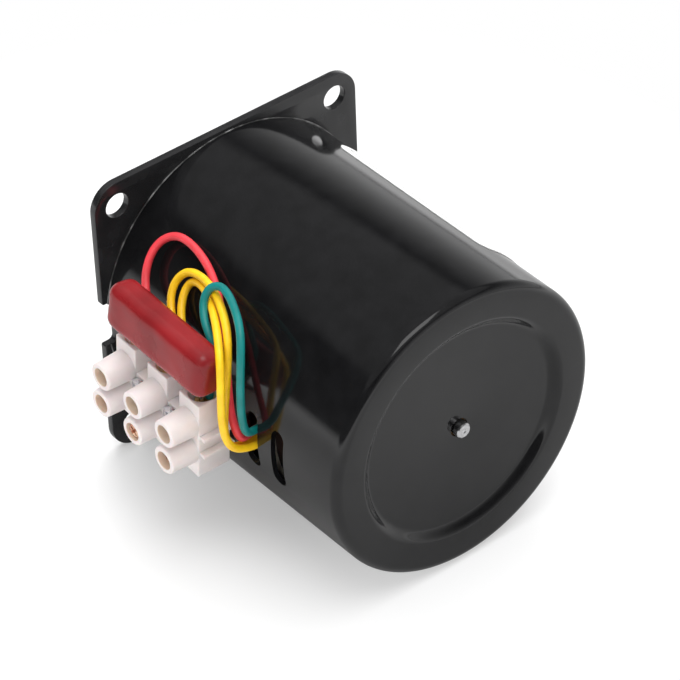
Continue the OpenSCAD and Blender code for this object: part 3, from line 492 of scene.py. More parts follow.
def wound(material):
    """Adds the relief of fine turns of wire, side by side along Y."""
    tree = material.node_tree
    where = add(tree, "ShaderNodeTexCoord")
    inputs = {"Vector": where.outputs["Object"], "Scale": WIRE_SCALE, "Distortion": WIRE_WOBBLE}
    turns = add(tree, "ShaderNodeTexWave", inputs, bands_direction="Y")
    bump = add(tree, "ShaderNodeBump", {"Height": turns.outputs["Fac"], "Distance": WIRE_HEIGHT})
    feed(tree, tree.nodes["Principled BSDF"], {"Normal": bump.outputs["Normal"]})


class MOTOR_OT_mix_finishes(bpy.types.Operator):
    """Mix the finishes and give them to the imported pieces"""

    bl_idname = "motor.mix_finishes"
    bl_label = "Mix Finishes"

    def execute(self, context):
        made = {name: finish(name, **look) for name, look in LOOKS.items()}
        wound(made["copper"])
        # Painted shade: the faces inside the strip's holes take the darker, warmer tone of Strip inside
        paint_shade_by_attribute(made["strip_plastic"], "inside", context.scene.motor_finishes.strip_inside)
        slots = {entry["node"]: entry["material_slot"] for entry in frame["record"]["subparts"]}
        for node, piece in frame["nodes"].items():
            for held in piece.material_slots:
                held.material = made[slots[node]]
        return {"FINISHED"}


# Shapes


# Sides of the round shapes: the can, thick shafts, thin shafts, screws, posts and pins
CAN_SIDES, SHAFT_SIDES, THIN_SIDES, SCREW_SIDES, POST_SIDES, PIN_SIDES = 192, 96, 64, 48, 40, 32
# The largest share of a straight side that a rounded corner takes
MOST_OF_SIDE = 0.49


def rounded(points, steps):
    """An outline of (x, y, radius) with its corners rounded."""
    out = []
    for i, (x, y, radius) in enumerate(points):
        if radius == 0:
            out.append((x, y))
            continue
        here = Vector((x, y))
        back = Vector(points[i - 1][:2]) - here
        ahead = Vector(points[(i + 1) % len(points)][:2]) - here
        half = back.angle(ahead) / 2
        trim = min(radius / math.tan(half), MOST_OF_SIDE * back.length, MOST_OF_SIDE * ahead.length)
        centre = here + (back.normalized() + ahead.normalized()).normalized() * trim / math.cos(half)
        first = here + back.normalized() * trim - centre
        last = here + ahead.normalized() * trim - centre
        start = math.atan2(first.y, first.x)
        sweep = (math.atan2(last.y, last.x) - start + math.pi) % (2 * math.pi) - math.pi
        out += arc(first.length, start, start + sweep, steps, centre)
    return out


def arc(radius, start, end, steps, centre=(0, 0)):
    """Points on an arc."""
    return [
        (centre[0] + radius * math.cos(start + (end - start) * k / steps),
         centre[1] + radius * math.sin(start + (end - start) * k / steps))
        for k in range(steps + 1)
    ]


def circle(radius, steps, centre=(0, 0)):
    """Points on a full circle."""
    return arc(radius, 0, 2 * math.pi, steps, centre)[:-1]


def sector(inner, outer, middle, sweep, steps):
    """The outline of a piece of a flat ring."""
    low, high = middle - sweep / 2, middle + sweep / 2
    return arc(outer, low, high, steps) + arc(inner, high, low, steps)


def lathe(bm, profile, matrix, sides, ring=False):
    """Adds a solid turned about Z from (radius, height) points; ring closes the profile on itself."""
    rows = []
    for radius, height in profile:
        around = circle(radius, sides) if radius > 1e-7 else [(0, 0)]
        rows.append([bm.verts.new(matrix @ Vector((x, y, height))) for x, y in around])
    for low, high in zip(rows, rows[1:] + (rows[:1] if ring else [])):
        for k in range(sides):
            j = (k + 1) % sides
            if len(low) == 1:
                bm.faces.new((low[0], high[k], high[j]))
            elif len(high) == 1:
                bm.faces.new((low[k], high[0], low[j]))
            else:
                bm.faces.new((low[k], high[k], high[j], low[j]))


def join_loops(bm, first, second):
    """Joins two closed loops of corners with faces."""
    for i in range(len(first)):
        j = (i + 1) % len(first)
        bm.faces.new((first[i], first[j], second[j], second[i]))


def prism(bm, outline, matrix, low, high):
    """Adds an outline drawn in X and Y, raised between two heights."""
    bottom, top = (
        [bm.verts.new(matrix @ Vector((x, y, height))) for x, y in outline] for height in (low, high)
    )
    bm.faces.new(bottom)
    bm.faces.new(top)
    join_loops(bm, bottom, top)


def block(bm, low, high, matrix=Matrix(), edge=0.0):
    """Adds a box between two corners, with rounded edges if asked."""
    made = bmesh.ops.create_cube(bm, size=1.0)["verts"]
    centre, span = (Vector(low) + Vector(high)) / 2, Vector(high) - Vector(low)
    for vert in made:
        vert.co = matrix @ (centre + Vector(a * b for a, b in zip(vert.co, span)))
    if edge:
        edges = list(dict.fromkeys(line for vert in made for line in vert.link_edges))
        bmesh.ops.bevel(bm, geom=edges, offset=edge, segments=3, profile=0.5, affect="EDGES")


def mesh_from(bm, name):
    """Closes up a bmesh, turns its faces outwards and returns it as a mesh."""
    bmesh.ops.recalc_face_normals(bm, faces=bm.faces)
    mesh = bpy.data.meshes.new(name)
    bm.to_mesh(mesh)
    bm.free()
    return mesh


def mesh_of(name, shape, *args, **settings):
    """One shape alone, as a mesh."""
    bm = bmesh.new()
    shape(bm, *args, **settings)
    return mesh_from(bm, name)


def linked(name, data):
    """A new object in the scene."""
    piece = bpy.data.objects.new(name, data)
    bpy.context.scene.collection.objects.link(piece)
    return piece


def baked(piece):
    """The plain mesh of a piece with its modifiers; the piece itself is taken away."""
    bpy.context.view_layer.update()
    graph = bpy.context.evaluated_depsgraph_get()
    mesh = bpy.data.meshes.new_from_object(piece.evaluated_get(graph))
    bpy.data.objects.remove(piece)
    return mesh


def cut(mesh, cutter):
    """Takes one mesh away from another and returns the rest."""
    piece, tool = linked("being_cut", mesh), linked("cutter", cutter)
    modifier = piece.modifiers.new("Cut", "BOOLEAN")
    modifier.operation, modifier.solver, modifier.object = "DIFFERENCE", "EXACT", tool
    result = baked(piece)
    bpy.data.objects.remove(tool)
    if not result.polygons:
        raise RuntimeError("a cut left nothing of " + mesh.name)
    return result


def place(name, mesh, slot, body="motor", stands_for=(), material=None, sharp=32):
    """Puts a finished mesh in the scene, on its body, in its finish."""
    mesh.materials.clear()
    mesh.materials.append(bpy.data.materials[material or slot])
    for face in mesh.polygons:
        face.use_smooth = True
        face.material_index = 0
    mesh.set_sharp_from_angle(angle=math.radians(sharp))
    piece = linked(name, mesh)
    mesh.name = name
    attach(piece, body)
    if stands_for:
        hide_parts(*stands_for)


# Repeating trees


def repeat_tree(name, sockets, lay_points):
    """A tree that sets its Piece on points, each turned about X by a chance share of Turn."""
    tree = bpy.data.node_groups.new(name, "GeometryNodeTree")
    for label, kind, default in (
        *sockets, ("Piece", "Object", None), ("Turn", "Float", 0.0), ("Seed", "Int", 1),
        ("Finish", "Material", None),
    ):
        socket = tree.interface.new_socket(name=label, in_out="INPUT", socket_type="NodeSocket" + kind)
        if default is not None:
            socket.default_value = default
    tree.interface.new_socket(name="Geometry", in_out="OUTPUT", socket_type="NodeSocketGeometry")
    given = tree.nodes.new("NodeGroupInput").outputs
    info = add(tree, "GeometryNodeObjectInfo", {"Object": given["Piece"]})
    inputs = {3: given["Turn"], "Seed": given["Seed"]}
    chance = add(tree, "FunctionNodeRandomValue", inputs, data_type="FLOAT")
    aim = add(tree, "ShaderNodeCombineXYZ", {"X": chance.outputs[1]})
    points, turned = lay_points(tree, given), aim.outputs["Vector"]
    inputs = {"Points": points, "Instance": info.outputs["Geometry"], "Rotation": turned}
    put = add(tree, "GeometryNodeInstanceOnPoints", inputs)
    real = add(tree, "GeometryNodeRealizeInstances", {"Geometry": put.outputs["Instances"]})
    inputs = {"Geometry": real.outputs["Geometry"], "Material": given["Finish"]}
    dress = add(tree, "GeometryNodeSetMaterial", inputs)
    add(tree, "NodeGroupOutput", {"Geometry": dress.outputs["Geometry"]})


def even_row(tree, given):
    """Points in an even row along Y, centred on the origin."""
    half = calc(tree, "MULTIPLY", calc(tree, "SUBTRACT", given["Count"], 1), -0.5)
    reach = calc(tree, "MULTIPLY", half, given["Spacing"])
    first, step = (
        add(tree, "ShaderNodeCombineXYZ", {"Y": length}).outputs["Vector"]
        for length in (reach, given["Spacing"])
    )
    inputs = {"Count": given["Count"], "Start Location": first, "Offset": step}
    return add(tree, "GeometryNodeMeshLine", inputs).outputs["Mesh"]


def own_spots(tree, given):
    """The points of the mesh that carries the tree."""
    return given["Spots"]


def repeated(mesh, tree_name, finish_name, spots=(), **values):
    """Runs a repeating tree on one mesh and returns the plain result."""
    tree = bpy.data.node_groups[tree_name]
    master, points = linked("master", mesh), bpy.data.meshes.new("points")
    if spots:
        points.from_pydata(spots, [], [])
    carrier = linked("carrier", points)
    modifier = carrier.modifiers.new("Repeat", "NODES")
    modifier.node_group = tree
    keys = {item.name: item.identifier for item in tree.interface.items_tree if item.in_out == "INPUT"}
    modifier[keys["Piece"]] = master
    modifier[keys["Finish"]] = bpy.data.materials[finish_name]
    for name, value in values.items():
        modifier[keys[name.title()]] = value
    carrier.update_tag()
    result = baked(carrier)
    bpy.data.objects.remove(master)
    if not result.polygons:
        raise RuntimeError("the tree " + tree.name + " gave nothing")
    return result


# Stage


CAMERA_AT = (-0.35269, -0.48917, 0.46274)
CAMERA_RIGHT = (0.776, -0.63, -0.032)
CAMERA_UP = (0.415, 0.471, 0.779)
CAMERA_SHIFT = (0.0071, 0.0055)
LAMP_TARGET = (-0.005, -0.035, 0)
# Each lamp's size and place, in metres; only the key lamp shows in gloss
LAMPS = {
    "top": (1.6, (0.1, 0.0, 1.1)),
    "key": (0.42, (-0.07, -0.26, 0.7)),
    "right": (0.8, (0.35, 0.3, 0.8)),
    "left": (0.5, (-0.65, -0.3, 0.35)),
}
WHITE = (1, 1, 1, 1)
# As gloss sees them: the height of the backdrop's foot, the light left in the gap above it, where the
# backdrop is dim and where it is lit, how dim, and how far above the gap the ceiling is at full strength
FOOT, GAP_LIGHT, DIM_AT, LIT_AT, DIM_SHARE, ROOF_RISE = 0.08, 0.02, -0.35, 0.15, 0.06, 1.12
FLOOR_REACH, FAR_SHEEN = 2.5, 0.9


def aimed(spot, target):
    """A turned frame at a spot, looking at a target."""
    look = (Vector(target) - Vector(spot)).to_track_quat("-Z", "Y")
    return Matrix.Translation(spot) @ look.to_matrix().to_4x4()


class MOTOR_OT_set_stage(bpy.types.Operator):
    """Set the camera, the lamps, the pale world and the floor"""

    bl_idname = "motor.set_stage"
    bl_label = "Set Stage"

    def execute(self, context):
        scene = context.scene
        look = scene.motor_stage
        scene.view_settings.view_transform = "Standard"
        self.set_camera(scene, look)
        for name, (side, spot) in LAMPS.items():
            lamp = bpy.data.lights.new(name + "_lamp", "AREA")
            lamp.energy, lamp.size = getattr(look, name), side
            holder = linked(lamp.name, lamp)
            holder.matrix_world = aimed(spot, LAMP_TARGET)
            holder.visible_glossy = name == "key"
        self.light_world(scene, look)
        self.lay_floor(look)
        return {"FINISHED"}

    def set_camera(self, scene, look):
        """The camera that the photo was taken with, as solved from the flange and the can."""
        lens = bpy.data.cameras.new("camera")
        lens.lens, lens.sensor_width = look.lens, 36
        lens.shift_x, lens.shift_y = CAMERA_SHIFT
        lens.clip_start, lens.clip_end = 0.05, 20
        back = Vector(CAMERA_RIGHT).cross(Vector(CAMERA_UP)).normalized()
        up = back.cross(Vector(CAMERA_RIGHT)).normalized()
        right = up.cross(back).normalized()
        scene.camera = linked("camera", lens)
        turned = Matrix((right, up, back)).transposed().to_4x4()
        scene.camera.matrix_world = Matrix.Translation(CAMERA_AT) @ turned

    def light_world(self, scene, look):
        """White to the camera, a soft gradient to gloss, even light to the rest."""
        scene.world = bpy.data.worlds.new("studio")
        tree = bare_tree(scene.world)
        rays, where = add(tree, "ShaderNodeLightPath"), add(tree, "ShaderNodeTexCoord")
        parts = add(tree, "ShaderNodeSeparateXYZ", {"Vector": where.outputs["Generated"]})
        sweep = spread(tree, parts.outputs["Z"], FOOT, look.gap, look.backdrop, GAP_LIGHT)
        side = spread(tree, parts.outputs["X"], DIM_AT, LIT_AT, DIM_SHARE, 1)
        roof = spread(tree, parts.outputs["Z"], look.gap, ROOF_RISE * look.gap, 0, look.ceiling)
        shown = calc(tree, "ADD", calc(tree, "MULTIPLY", sweep, side), roof)
        seen, glossy, even = (
            add(tree, "ShaderNodeBackground", {"Color": WHITE, "Strength": strength}).outputs["Background"]
            for strength in (1, shown, look.sky)
        )
        unseen = mixed(tree, rays.outputs["Is Glossy Ray"], even, glossy)
        surface = mixed(tree, rays.outputs["Is Camera Ray"], unseen, seen)
        add(tree, "ShaderNodeOutputWorld", {"Surface": surface})

    def lay_floor(self, look):
        """A pale floor that keeps the shadow and looks white to the camera."""
        bm = bmesh.new()
        bmesh.ops.create_grid(bm, x_segments=1, y_segments=1, size=FLOOR_REACH)
        bmesh.ops.translate(bm, vec=(0, 0, CAD_BOX[0].z), verts=bm.verts)
        floor = linked("floor", mesh_from(bm, "floor"))
        material = bpy.data.materials.new("floor_sheet")
        tree = bare_tree(material)
        rays, where = add(tree, "ShaderNodeLightPath"), add(tree, "ShaderNodeTexCoord")
        reach = add(tree, "ShaderNodeVectorMath", {0: where.outputs["Object"]}, operation="LENGTH")
        white = spread(tree, reach.outputs["Value"], look.fade, look.clear, look.white, 1)
        # Painted shade: to gloss the floor is dimmer round the motor, rising from Sheen at Sheen start to
        # FAR_SHEEN at Sheen end, on top of its real shadow
        rise = spread(tree, reach.outputs["Value"], look.near, look.middle, look.sheen, FAR_SHEEN)
        matt, sheen = (
            add(tree, "ShaderNodeBsdfDiffuse", {"Color": shade}).outputs["BSDF"]
            for shade in ((look.floor, look.floor, look.floor, 1), rise)
        )
        glow = add(tree, "ShaderNodeEmission").outputs["Emission"]
        seen = mixed(tree, calc(tree, "MULTIPLY", rays.outputs["Is Camera Ray"], white), matt, glow)
        surface = mixed(tree, rays.outputs["Is Glossy Ray"], seen, sheen)
        add(tree, "ShaderNodeOutputMaterial", {"Surface": surface})
        floor.data.materials.append(material)
        return floor


# Leads


def smooth_route(route, steps):
    """A smooth line through every point of a route."""
    points = [Vector(p) for p in route]
    points = [2 * points[0] - points[1]] + points + [2 * points[-1] - points[-2]]
    line = []
    for a, b, c, d in zip(points, points[1:], points[2:], points[3:]):
        for k in range(steps):
            t = k / steps
            line.append(0.5 * (
                2 * b + (c - a) * t + (2 * a - 5 * b + 4 * c - d) * t ** 2 + (3 * b - a - 3 * c + d) * t ** 3
            ))
    line.append(points[-2])
    for _ in range(3 * steps):
        inner = [a * 0.25 + b * 0.5 + c * 0.25 for a, b, c in zip(line, line[1:], line[2:])]
        line = line[:2] + inner[1:-1] + line[-2:]
    return line


class MOTOR_OT_lay_leads(bpy.types.Operator):
    """Lay the four covered leads from the can's slot to the poles"""

    bl_idname = "motor.lay_leads"
    bl_label = "Lay Leads"

    def execute(self, context):
        sizes = context.scene.motor_leads
        for node, route, slot in (
            ("red_lead", RED_ROUTE, "red_cover"),
            ("front_yellow_lead", FRONT_YELLOW_ROUTE, "yellow_cover"),
            ("rear_yellow_lead", REAR_YELLOW_ROUTE, "yellow_cover"),
            ("green_lead", GREEN_ROUTE, "green_cover"),
        ):
            self.lay_lead(node, smooth_route(route, sizes.steps), slot, sizes.diameter)
        return {"FINISHED"}

    def lay_lead(self, node, line, slot, diameter):
        """One covered lead as a round curve along its line."""
        curve = bpy.data.curves.new(node + "_cover", "CURVE")
        curve.dimensions, curve.use_fill_caps = "3D", True
        curve.bevel_depth, curve.bevel_resolution = diameter / 2, 6
        spline = curve.splines.new("POLY")
        spline.points.add(len(line) - 1)
        for point, spot in zip(spline.points, line):
            point.co = (*spot, 1)
        spline.use_smooth = True
        curve.materials.append(bpy.data.materials[slot])
        lead = linked(node + "_cover", curve)
        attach(lead, "motor")
        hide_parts(node)


# Can and flange


# Middles of the four tabs that hold the can in the flange
TAB_ANGLES = [math.radians(45 + 90 * quarter) for quarter in range(4)]
DISH_STEPS = 16


class MOTOR_OT_draw_can(bpy.types.Operator):
    """Draw the can with its dished rear, its slots and its tabs"""

    bl_idname = "motor.draw_can"
    bl_label = "Draw Can"

    def execute(self, context):
        s, flange = context.scene.motor_can, context.scene.motor_flange
        front, inside, floor = flange.thickness, s.radius - s.wall, s.rear - s.dish_depth
        foot, rim = s.dish_radius - s.dish_slope - s.dish_ease, s.dish_radius + s.dish_ease
        slope = []
        for k in range(DISH_STEPS + 1):
            rise = s.dish_depth * (1 - math.cos(math.pi * k / DISH_STEPS)) / 2
            slope.append((foot + (rim - foot) * k / DISH_STEPS, floor + rise, 0))
        foot_edge, hole_edge = 0.16 * s.edge, 0.1 * s.edge
        shell = mesh_of("shell", lathe, rounded((
            (s.radius, front, foot_edge), (s.radius, s.rear, s.edge), *reversed(slope),
            (s.hole, floor, hole_edge), (s.hole, floor - s.wall, 0),
            *((radius, depth - s.wall, 0) for radius, depth, _ in slope),
            (inside, s.rear - s.wall, s.edge - s.wall), (inside, front, 0),
        ), 9), AXIAL, CAN_SIDES, ring=True)
        bm = bmesh.new()
        half, bend = (s.slot_height - s.slot_width) / 2, s.slot_width / 2
        outline = arc(bend, 0, math.pi, 14, (0, half)) + arc(bend, math.pi, 2 * math.pi, 14, (0, -half))
        for depth in (s.exit_depth, s.exit_depth + s.slot_gap):
            spot = Matrix.Translation((0, -depth, -s.slot_drop))
            prism(bm, outline, spot @ SIDEWAYS, inside - s.wall, s.radius + s.wall)
        self.notch_rim(bm, s, flange)
        shell = cut(shell, mesh_from(bm, "openings"))
        bm = bmesh.new()
        bm.from_mesh(shell)
        for middle in TAB_ANGLES:
            tab = sector(inside + s.tab_inset, s.radius - s.tab_inset, middle, s.tab_angle, 16)
            prism(bm, tab, AXIAL, 0, front + s.rim_cut)
        place("can_shell", mesh_from(bm, "can_shell"), "black_paint", stands_for=("can",), sharp=38)
        # Painted highlight: a thin bead in a light grey finish round the can's foot, for the bright line
        # along its seam with the flange
        bead = circle(s.seam / 2, 10, (s.radius, front + s.seam / 2))
        seam = mesh_of("seam", lathe, bead, AXIAL, CAN_SIDES, ring=True)
        seam = cut(seam, mesh_of("notches", self.notch_rim, s, flange))
        place("can_seam", seam, "black_paint", material="worn_edge")
        return {"FINISHED"}

    def notch_rim(self, bm, s, flange):
        """Adds the two blocks that open the rim behind the flange's notches."""
        rise, front = flange.notch_height / 2, -flange.thickness
        for side in (-1, 1):
            near, far = sorted((side * (s.radius - 2 * s.wall), side * (s.radius + s.wall)))
            block(bm, (near, front - s.rim_cut, -rise), (far, front + s.wall, rise))


def plate(loops, thickness, edge):
    """A flat plate behind the mounting face from closed loops, with slightly rounded edges."""
    curve = bpy.data.curves.new("plate", "CURVE")
    curve.dimensions, curve.fill_mode = "2D", "BOTH"
    curve.extrude, curve.offset = thickness / 2 - edge, -edge
    curve.bevel_depth, curve.bevel_resolution = edge, 2
    for loop in loops:
        spline = curve.splines.new("POLY")
        spline.points.add(len(loop) - 1)
        for point, (x, y) in zip(spline.points, loop):
            point.co = (x, y, 0, 1)
        spline.use_cyclic_u = True
    mesh = baked(linked("plate", curve))
    mesh.transform(AXIAL @ Matrix.Translation((0, 0, thickness / 2)))
    bm = bmesh.new()
    bm.from_mesh(mesh)
    bmesh.ops.remove_doubles(bm, verts=bm.verts, dist=1e-7)
    return mesh_from(bm, "plate")


class MOTOR_OT_press_flange(bpy.types.Operator):
    """Press the square flange with its notches and holes"""

    bl_idname = "motor.press_flange"
    bl_label = "Press Flange"

    def execute(self, context):
        s, can, shafts = context.scene.motor_flange, context.scene.motor_can, context.scene.motor_shafts
        w, n, d = s.side / 2, s.notch_height / 2, s.side / 2 - s.notch_depth
        soft = 0.4 * s.notch_corner
        right = (
            (w, -w, s.corner), (w, -n, soft), (d, -n, s.notch_corner), (d, n, s.notch_corner), (w, n, soft),
            (w, w, s.corner),
        )
        loops = [rounded((*right, *((-x, -y, radius) for x, y, radius in right)), 14)]
        off, inside = s.hole_pitch / 2, can.radius - can.wall
        loops += [circle(s.hole_radius, 48, (x, z)) for x in (-off, off) for z in (-off, off)]
        loops.append(circle(shafts.bush_body, 72, OUTPUT_SPOT))
        loops += [circle(shafts.rivet_radius, 32, (x * inside, z * inside)) for x, z in POST_SHARES]
        loops += [circle(shafts.arbor_radius, 24, spot) for spot in ARBOR_SPOTS]
        gap = can.tab_inset / 2
        for middle in TAB_ANGLES:
            sweep = can.tab_angle + gap / can.radius
            loops.append(sector(inside + gap, can.radius - gap, middle, sweep, 12))
        sheet = plate(loops, s.thickness, s.edge)
        place("flange_sheet", sheet, "black_paint", stands_for=("flange_plate",), material="flange_paint")
        return {"FINISHED"}


# Shafts


class MOTOR_OT_turn_shafts(bpy.types.Operator):
    """Turn the shafts, the output bush, the ring, the posts and the arbors"""

    bl_idname = "motor.turn_shafts"
    bl_label = "Turn Shafts"

    def execute(self, context):
        s, flange, can = context.scene.motor_shafts, context.scene.motor_flange, context.scene.motor_can
        self.turn_output(s, AXIAL @ Matrix.Translation((*OUTPUT_SPOT, 0)))
        dimple = 0.35 * s.rotor_radius
        rotor = mesh_of("rotor_shaft", lathe, (
            (0, s.rotor_front), (s.rotor_radius - s.chamfer, s.rotor_front),
            (s.rotor_radius, s.rotor_front + s.chamfer), (s.rotor_radius, s.rotor_end - s.edge),
            (s.rotor_radius - s.edge, s.rotor_end), (dimple, s.rotor_end), (0, s.rotor_end - dimple),
        ), AXIAL, THIN_SIDES)
        place("rotor_shaft_turned", rotor, "steel", "rotor", ("rotor_shaft",))
        inside, gear_plate = can.radius - can.wall, flange.case_depth - flange.case_plate
        post = mesh_of("post", lathe, rounded((
            (0, 0, 0), (s.rivet_radius, 0, s.edge), (s.rivet_radius, flange.thickness, 0),
            (s.post_radius, flange.thickness, 0), (s.post_radius, gear_plate, 0),
            (s.rivet_radius, gear_plate, 0), (s.rivet_radius, flange.case_depth, s.edge),
            (0, flange.case_depth, 0),
        ), 3), AXIAL, POST_SIDES)
        posts = repeated(post, "Spots", "steel", [(x * inside, 0, z * inside) for x, z in POST_SHARES])
        place("plate_posts_turned", posts, "steel", stands_for=("plate_posts",))
        for spot, node in zip(ARBOR_SPOTS, ("first_arbor", "second_arbor")):
            pin = mesh_of(node, lathe, rounded((
                (0, 0, 0), (s.arbor_radius, 0, s.edge), (s.arbor_radius, flange.case_depth, s.edge),
                (0, flange.case_depth, 0),
            ), 3), AXIAL @ Matrix.Translation((*spot, 0)), PIN_SIDES)
            place(node + "_pin", pin, "steel", stands_for=(node,))
        return {"FINISHED"}

    def turn_output(self, s, output):
        """The output shaft with its flat, its bush and its retaining ring."""
        ring_rear = -s.bush_out - s.play
        ring_front = ring_rear - s.ring_thickness
        flat_end = s.flat_length - s.output_length
        relieved = s.output_radius - s.relief
        shaft = mesh_of("shaft", lathe, (
            (0, -s.output_length), (s.output_radius - s.chamfer, -s.output_length),
            (s.output_radius, s.chamfer - s.output_length), (s.output_radius, flat_end - s.relief_width),
            (relieved, flat_end - s.relief_width), (relieved, flat_end), (s.output_radius, flat_end),
            (s.output_radius, ring_front), (s.groove, ring_front), (s.groove, ring_rear),
            (s.output_radius, ring_rear), (s.output_radius, s.shoulder), (s.journal, s.shoulder),
            (s.journal, s.tail - s.chamfer), (s.journal - s.chamfer, s.tail), (0, s.tail),
        ), output, SHAFT_SIDES)
        flat = mesh_of("flat", block, (-s.bush_radius, s.flat_level, -s.output_length - s.bush_out),
                       (s.bush_radius, s.bush_radius, flat_end), output)
        place("output_shaft_turned", cut(shaft, flat), "steel", "output", ("output_shaft",))
        bore = s.output_radius + 0.4 * s.play
        bush = mesh_of("bush", lathe, rounded((
            (bore, -s.bush_out, s.edge), (s.bush_radius, -s.bush_out, s.chamfer), (s.bush_radius, 0, 0),
            (s.bush_body, 0, 0), (s.bush_body, s.bush_in, s.edge), (bore, s.bush_in, s.edge),
        ), 4), output, SHAFT_SIDES, ring=True)
        place("output_bush_turned", bush, "bronze", stands_for=("output_bush",))
        down, gap, lug, side_play = -math.pi / 2, math.radians(20), math.radians(11), 0.2 * s.play
        around = 2 * math.pi
        outline = arc(s.ring_radius, down + gap, down + around - gap, 60)
        outline += arc(s.groove, down + around - gap - lug, down + gap + lug, 48)
        ring = mesh_of("ring", prism, outline, output, ring_front + side_play, ring_rear - side_play)
        place("retaining_ring_clip", ring, "steel", "output", ("retaining_ring",))


# Terminal strip


def on_strip(scene):
    """The place of the strip: outward is -X, rearward is -Y, up is +Z."""
    s = scene.motor_strip
    place_at = (-scene.motor_can.radius - s.gap, -s.depth, s.up)
    return Matrix.Translation(place_at) @ Matrix.Rotation(s.tilt, 4, "X")


def rod(radius, low, high):
    """The profile of a plain round rod."""
    return (0, low), (radius, low), (radius, high), (0, high)


def pole_mesh(s):
    """One pole: its body with the wire entries, and its two chimneys."""
    half, reach = s.insert_length / 2, s.pole_height / 2
    body = mesh_of("pole", block, (-s.pole_depth, -s.pole_width / 2, -reach), (0, s.pole_width / 2, reach),
                   edge=s.edge)
    funnel = (
        (0, -reach - s.edge), (s.entry_mouth + s.edge, -reach - s.edge), (s.entry_mouth, -reach + s.edge),
        (s.entry_bore, -half), (s.entry_bore, half), (s.entry_mouth, reach - s.edge),
        (s.entry_mouth + s.edge, reach + s.edge), (0, reach + s.edge),
    )
    bm = bmesh.new()
    lathe(bm, funnel, Matrix(), SCREW_SIDES)
    for vert in bm.verts:
        opened = max(0, (abs(vert.co.z) - half) / (reach - half))
        vert.co.x = (vert.co.x * (1 + s.flare * opened) if vert.co.x < 0 else vert.co.x) - s.entry
    body = cut(body, mesh_from(bm, "entries"))
    spots = [Matrix.Translation((0, 0, side * s.chimney_pitch / 2)) @ OUTWARD for side in (-1, 1)]
    bm = bmesh.new()
    for spot in spots:
        lathe(bm, rod(s.bore, s.entry, s.pole_depth + s.edge), spot, SCREW_SIDES)
    body = cut(body, mesh_from(bm, "screw_ways"))
    bm = bmesh.new()
    bm.from_mesh(body)
    top, outer, inner = s.pole_depth + s.chimney_length, 1.4 * s.edge, 0.8 * s.edge
    chimney = rounded((
        (s.bore, s.pole_depth, 0), (s.foot, s.pole_depth, 0), (s.mouth, top, outer), (s.bore, top, inner),
    ), 4)
    for spot in spots:
        lathe(bm, chimney, spot, THIN_SIDES, ring=True)
    return mesh_from(bm, "pole")


def screw_mesh(head, head_height, shank, shank_length, crown, tip):
    """A cross-recessed screw along -X, its head's face at 0."""
    end, brim, face = -head_height - shank_length, -0.45 * head_height, 0.72 * head
    screw = mesh_of("screw", lathe, rounded((
        (0, 0, 0), (face, 0, crown), (head, brim, crown), (head, -head_height, 0),
        (shank, -head_height, 0), (shank, end + tip, 0), (tip, end, 0), (0, end, 0),
    ), 4), OUTWARD, SCREW_SIDES)
    wide, far = 0.17 * head, 0.6 * head
    cross = []
    for quarter in range(4):
        turned = Matrix.Rotation(math.radians(90 * quarter), 2)
        cross += [tuple(turned @ Vector(spot)) for spot in ((wide, wide), (wide, far), (-wide, far))]
    return cut(screw, mesh_of("recess", prism, cross, OUTWARD, brim, head))


class MOTOR_OT_mould_strip(bpy.types.Operator):
    """Mould the three poles of the terminal strip and their webs"""

    bl_idname = "motor.mould_strip"
    bl_label = "Mould Strip"

    def execute(self, context):
        s = context.scene.motor_strip
        row = repeated(pole_mesh(s), "Row", "strip_plastic", count=3, spacing=s.pitch)
        half_gap = (s.pitch - s.pole_width) / 2
        web = mesh_of("web", block, (-s.pole_depth + s.edge, -half_gap - s.edge, -s.web_below),
                      (-s.edge, half_gap + s.edge, s.web_above), edge=0.6 * s.edge)
        way = mesh_of("way", lathe, rod(s.mount_shank + 0.2 * s.edge, -s.edge, s.pole_depth + s.edge),
                      Matrix.Translation((0, 0, s.mount_up)) @ OUTWARD, POST_SIDES)
        webs = repeated(cut(web, way), "Row", "strip_plastic", count=2, spacing=s.pitch)
        bm = bmesh.new()
        bm.from_mesh(row)
        bm.from_mesh(webs)
        reach = s.pitch + s.pole_width / 2
        for low in (-s.web_below, s.rib_up):
            for side in (-1, 1):
                near, far = sorted((side * (reach - s.edge), side * (reach + s.rib)))
                block(bm, (-s.rib_depth, near, low), (0, far, low + s.rib_thickness), edge=0.3 * s.edge)
        self.mark_shaded_inside(bm, s)
        bmesh.ops.transform(bm, matrix=on_strip(context.scene), verts=bm.verts)
        place("strip_moulding", mesh_from(bm, "strip"), "strip_plastic", stands_for=("terminal_strip",))
        return {"FINISHED"}

    def mark_shaded_inside(self, bm, s):
        """Marks the faces inside the screw ways and the wire entries, which get a painted shade: a darker,
        warmer tone where less light reaches.
        """
        inner = bm.loops.layers.float.new("inside")
        screw_reach, wire_reach = 1.02 * s.bore, 1.1 * s.entry_bore
        for face in bm.faces:
            x, y, z = face.calc_center_median()
            across = (y + s.pitch / 2) % s.pitch - s.pitch / 2 if abs(y) < 1.5 * s.pitch else s.pitch
            from_screw = math.hypot(across, abs(z) - s.chimney_pitch / 2)
            from_wire = math.hypot(across, x + s.entry) if abs(x + s.entry) < s.entry else s.pitch
            deep = from_screw < screw_reach or from_wire < wire_reach
            for corner in face.loops:
                corner[inner] = 1.0 if deep else 0.0


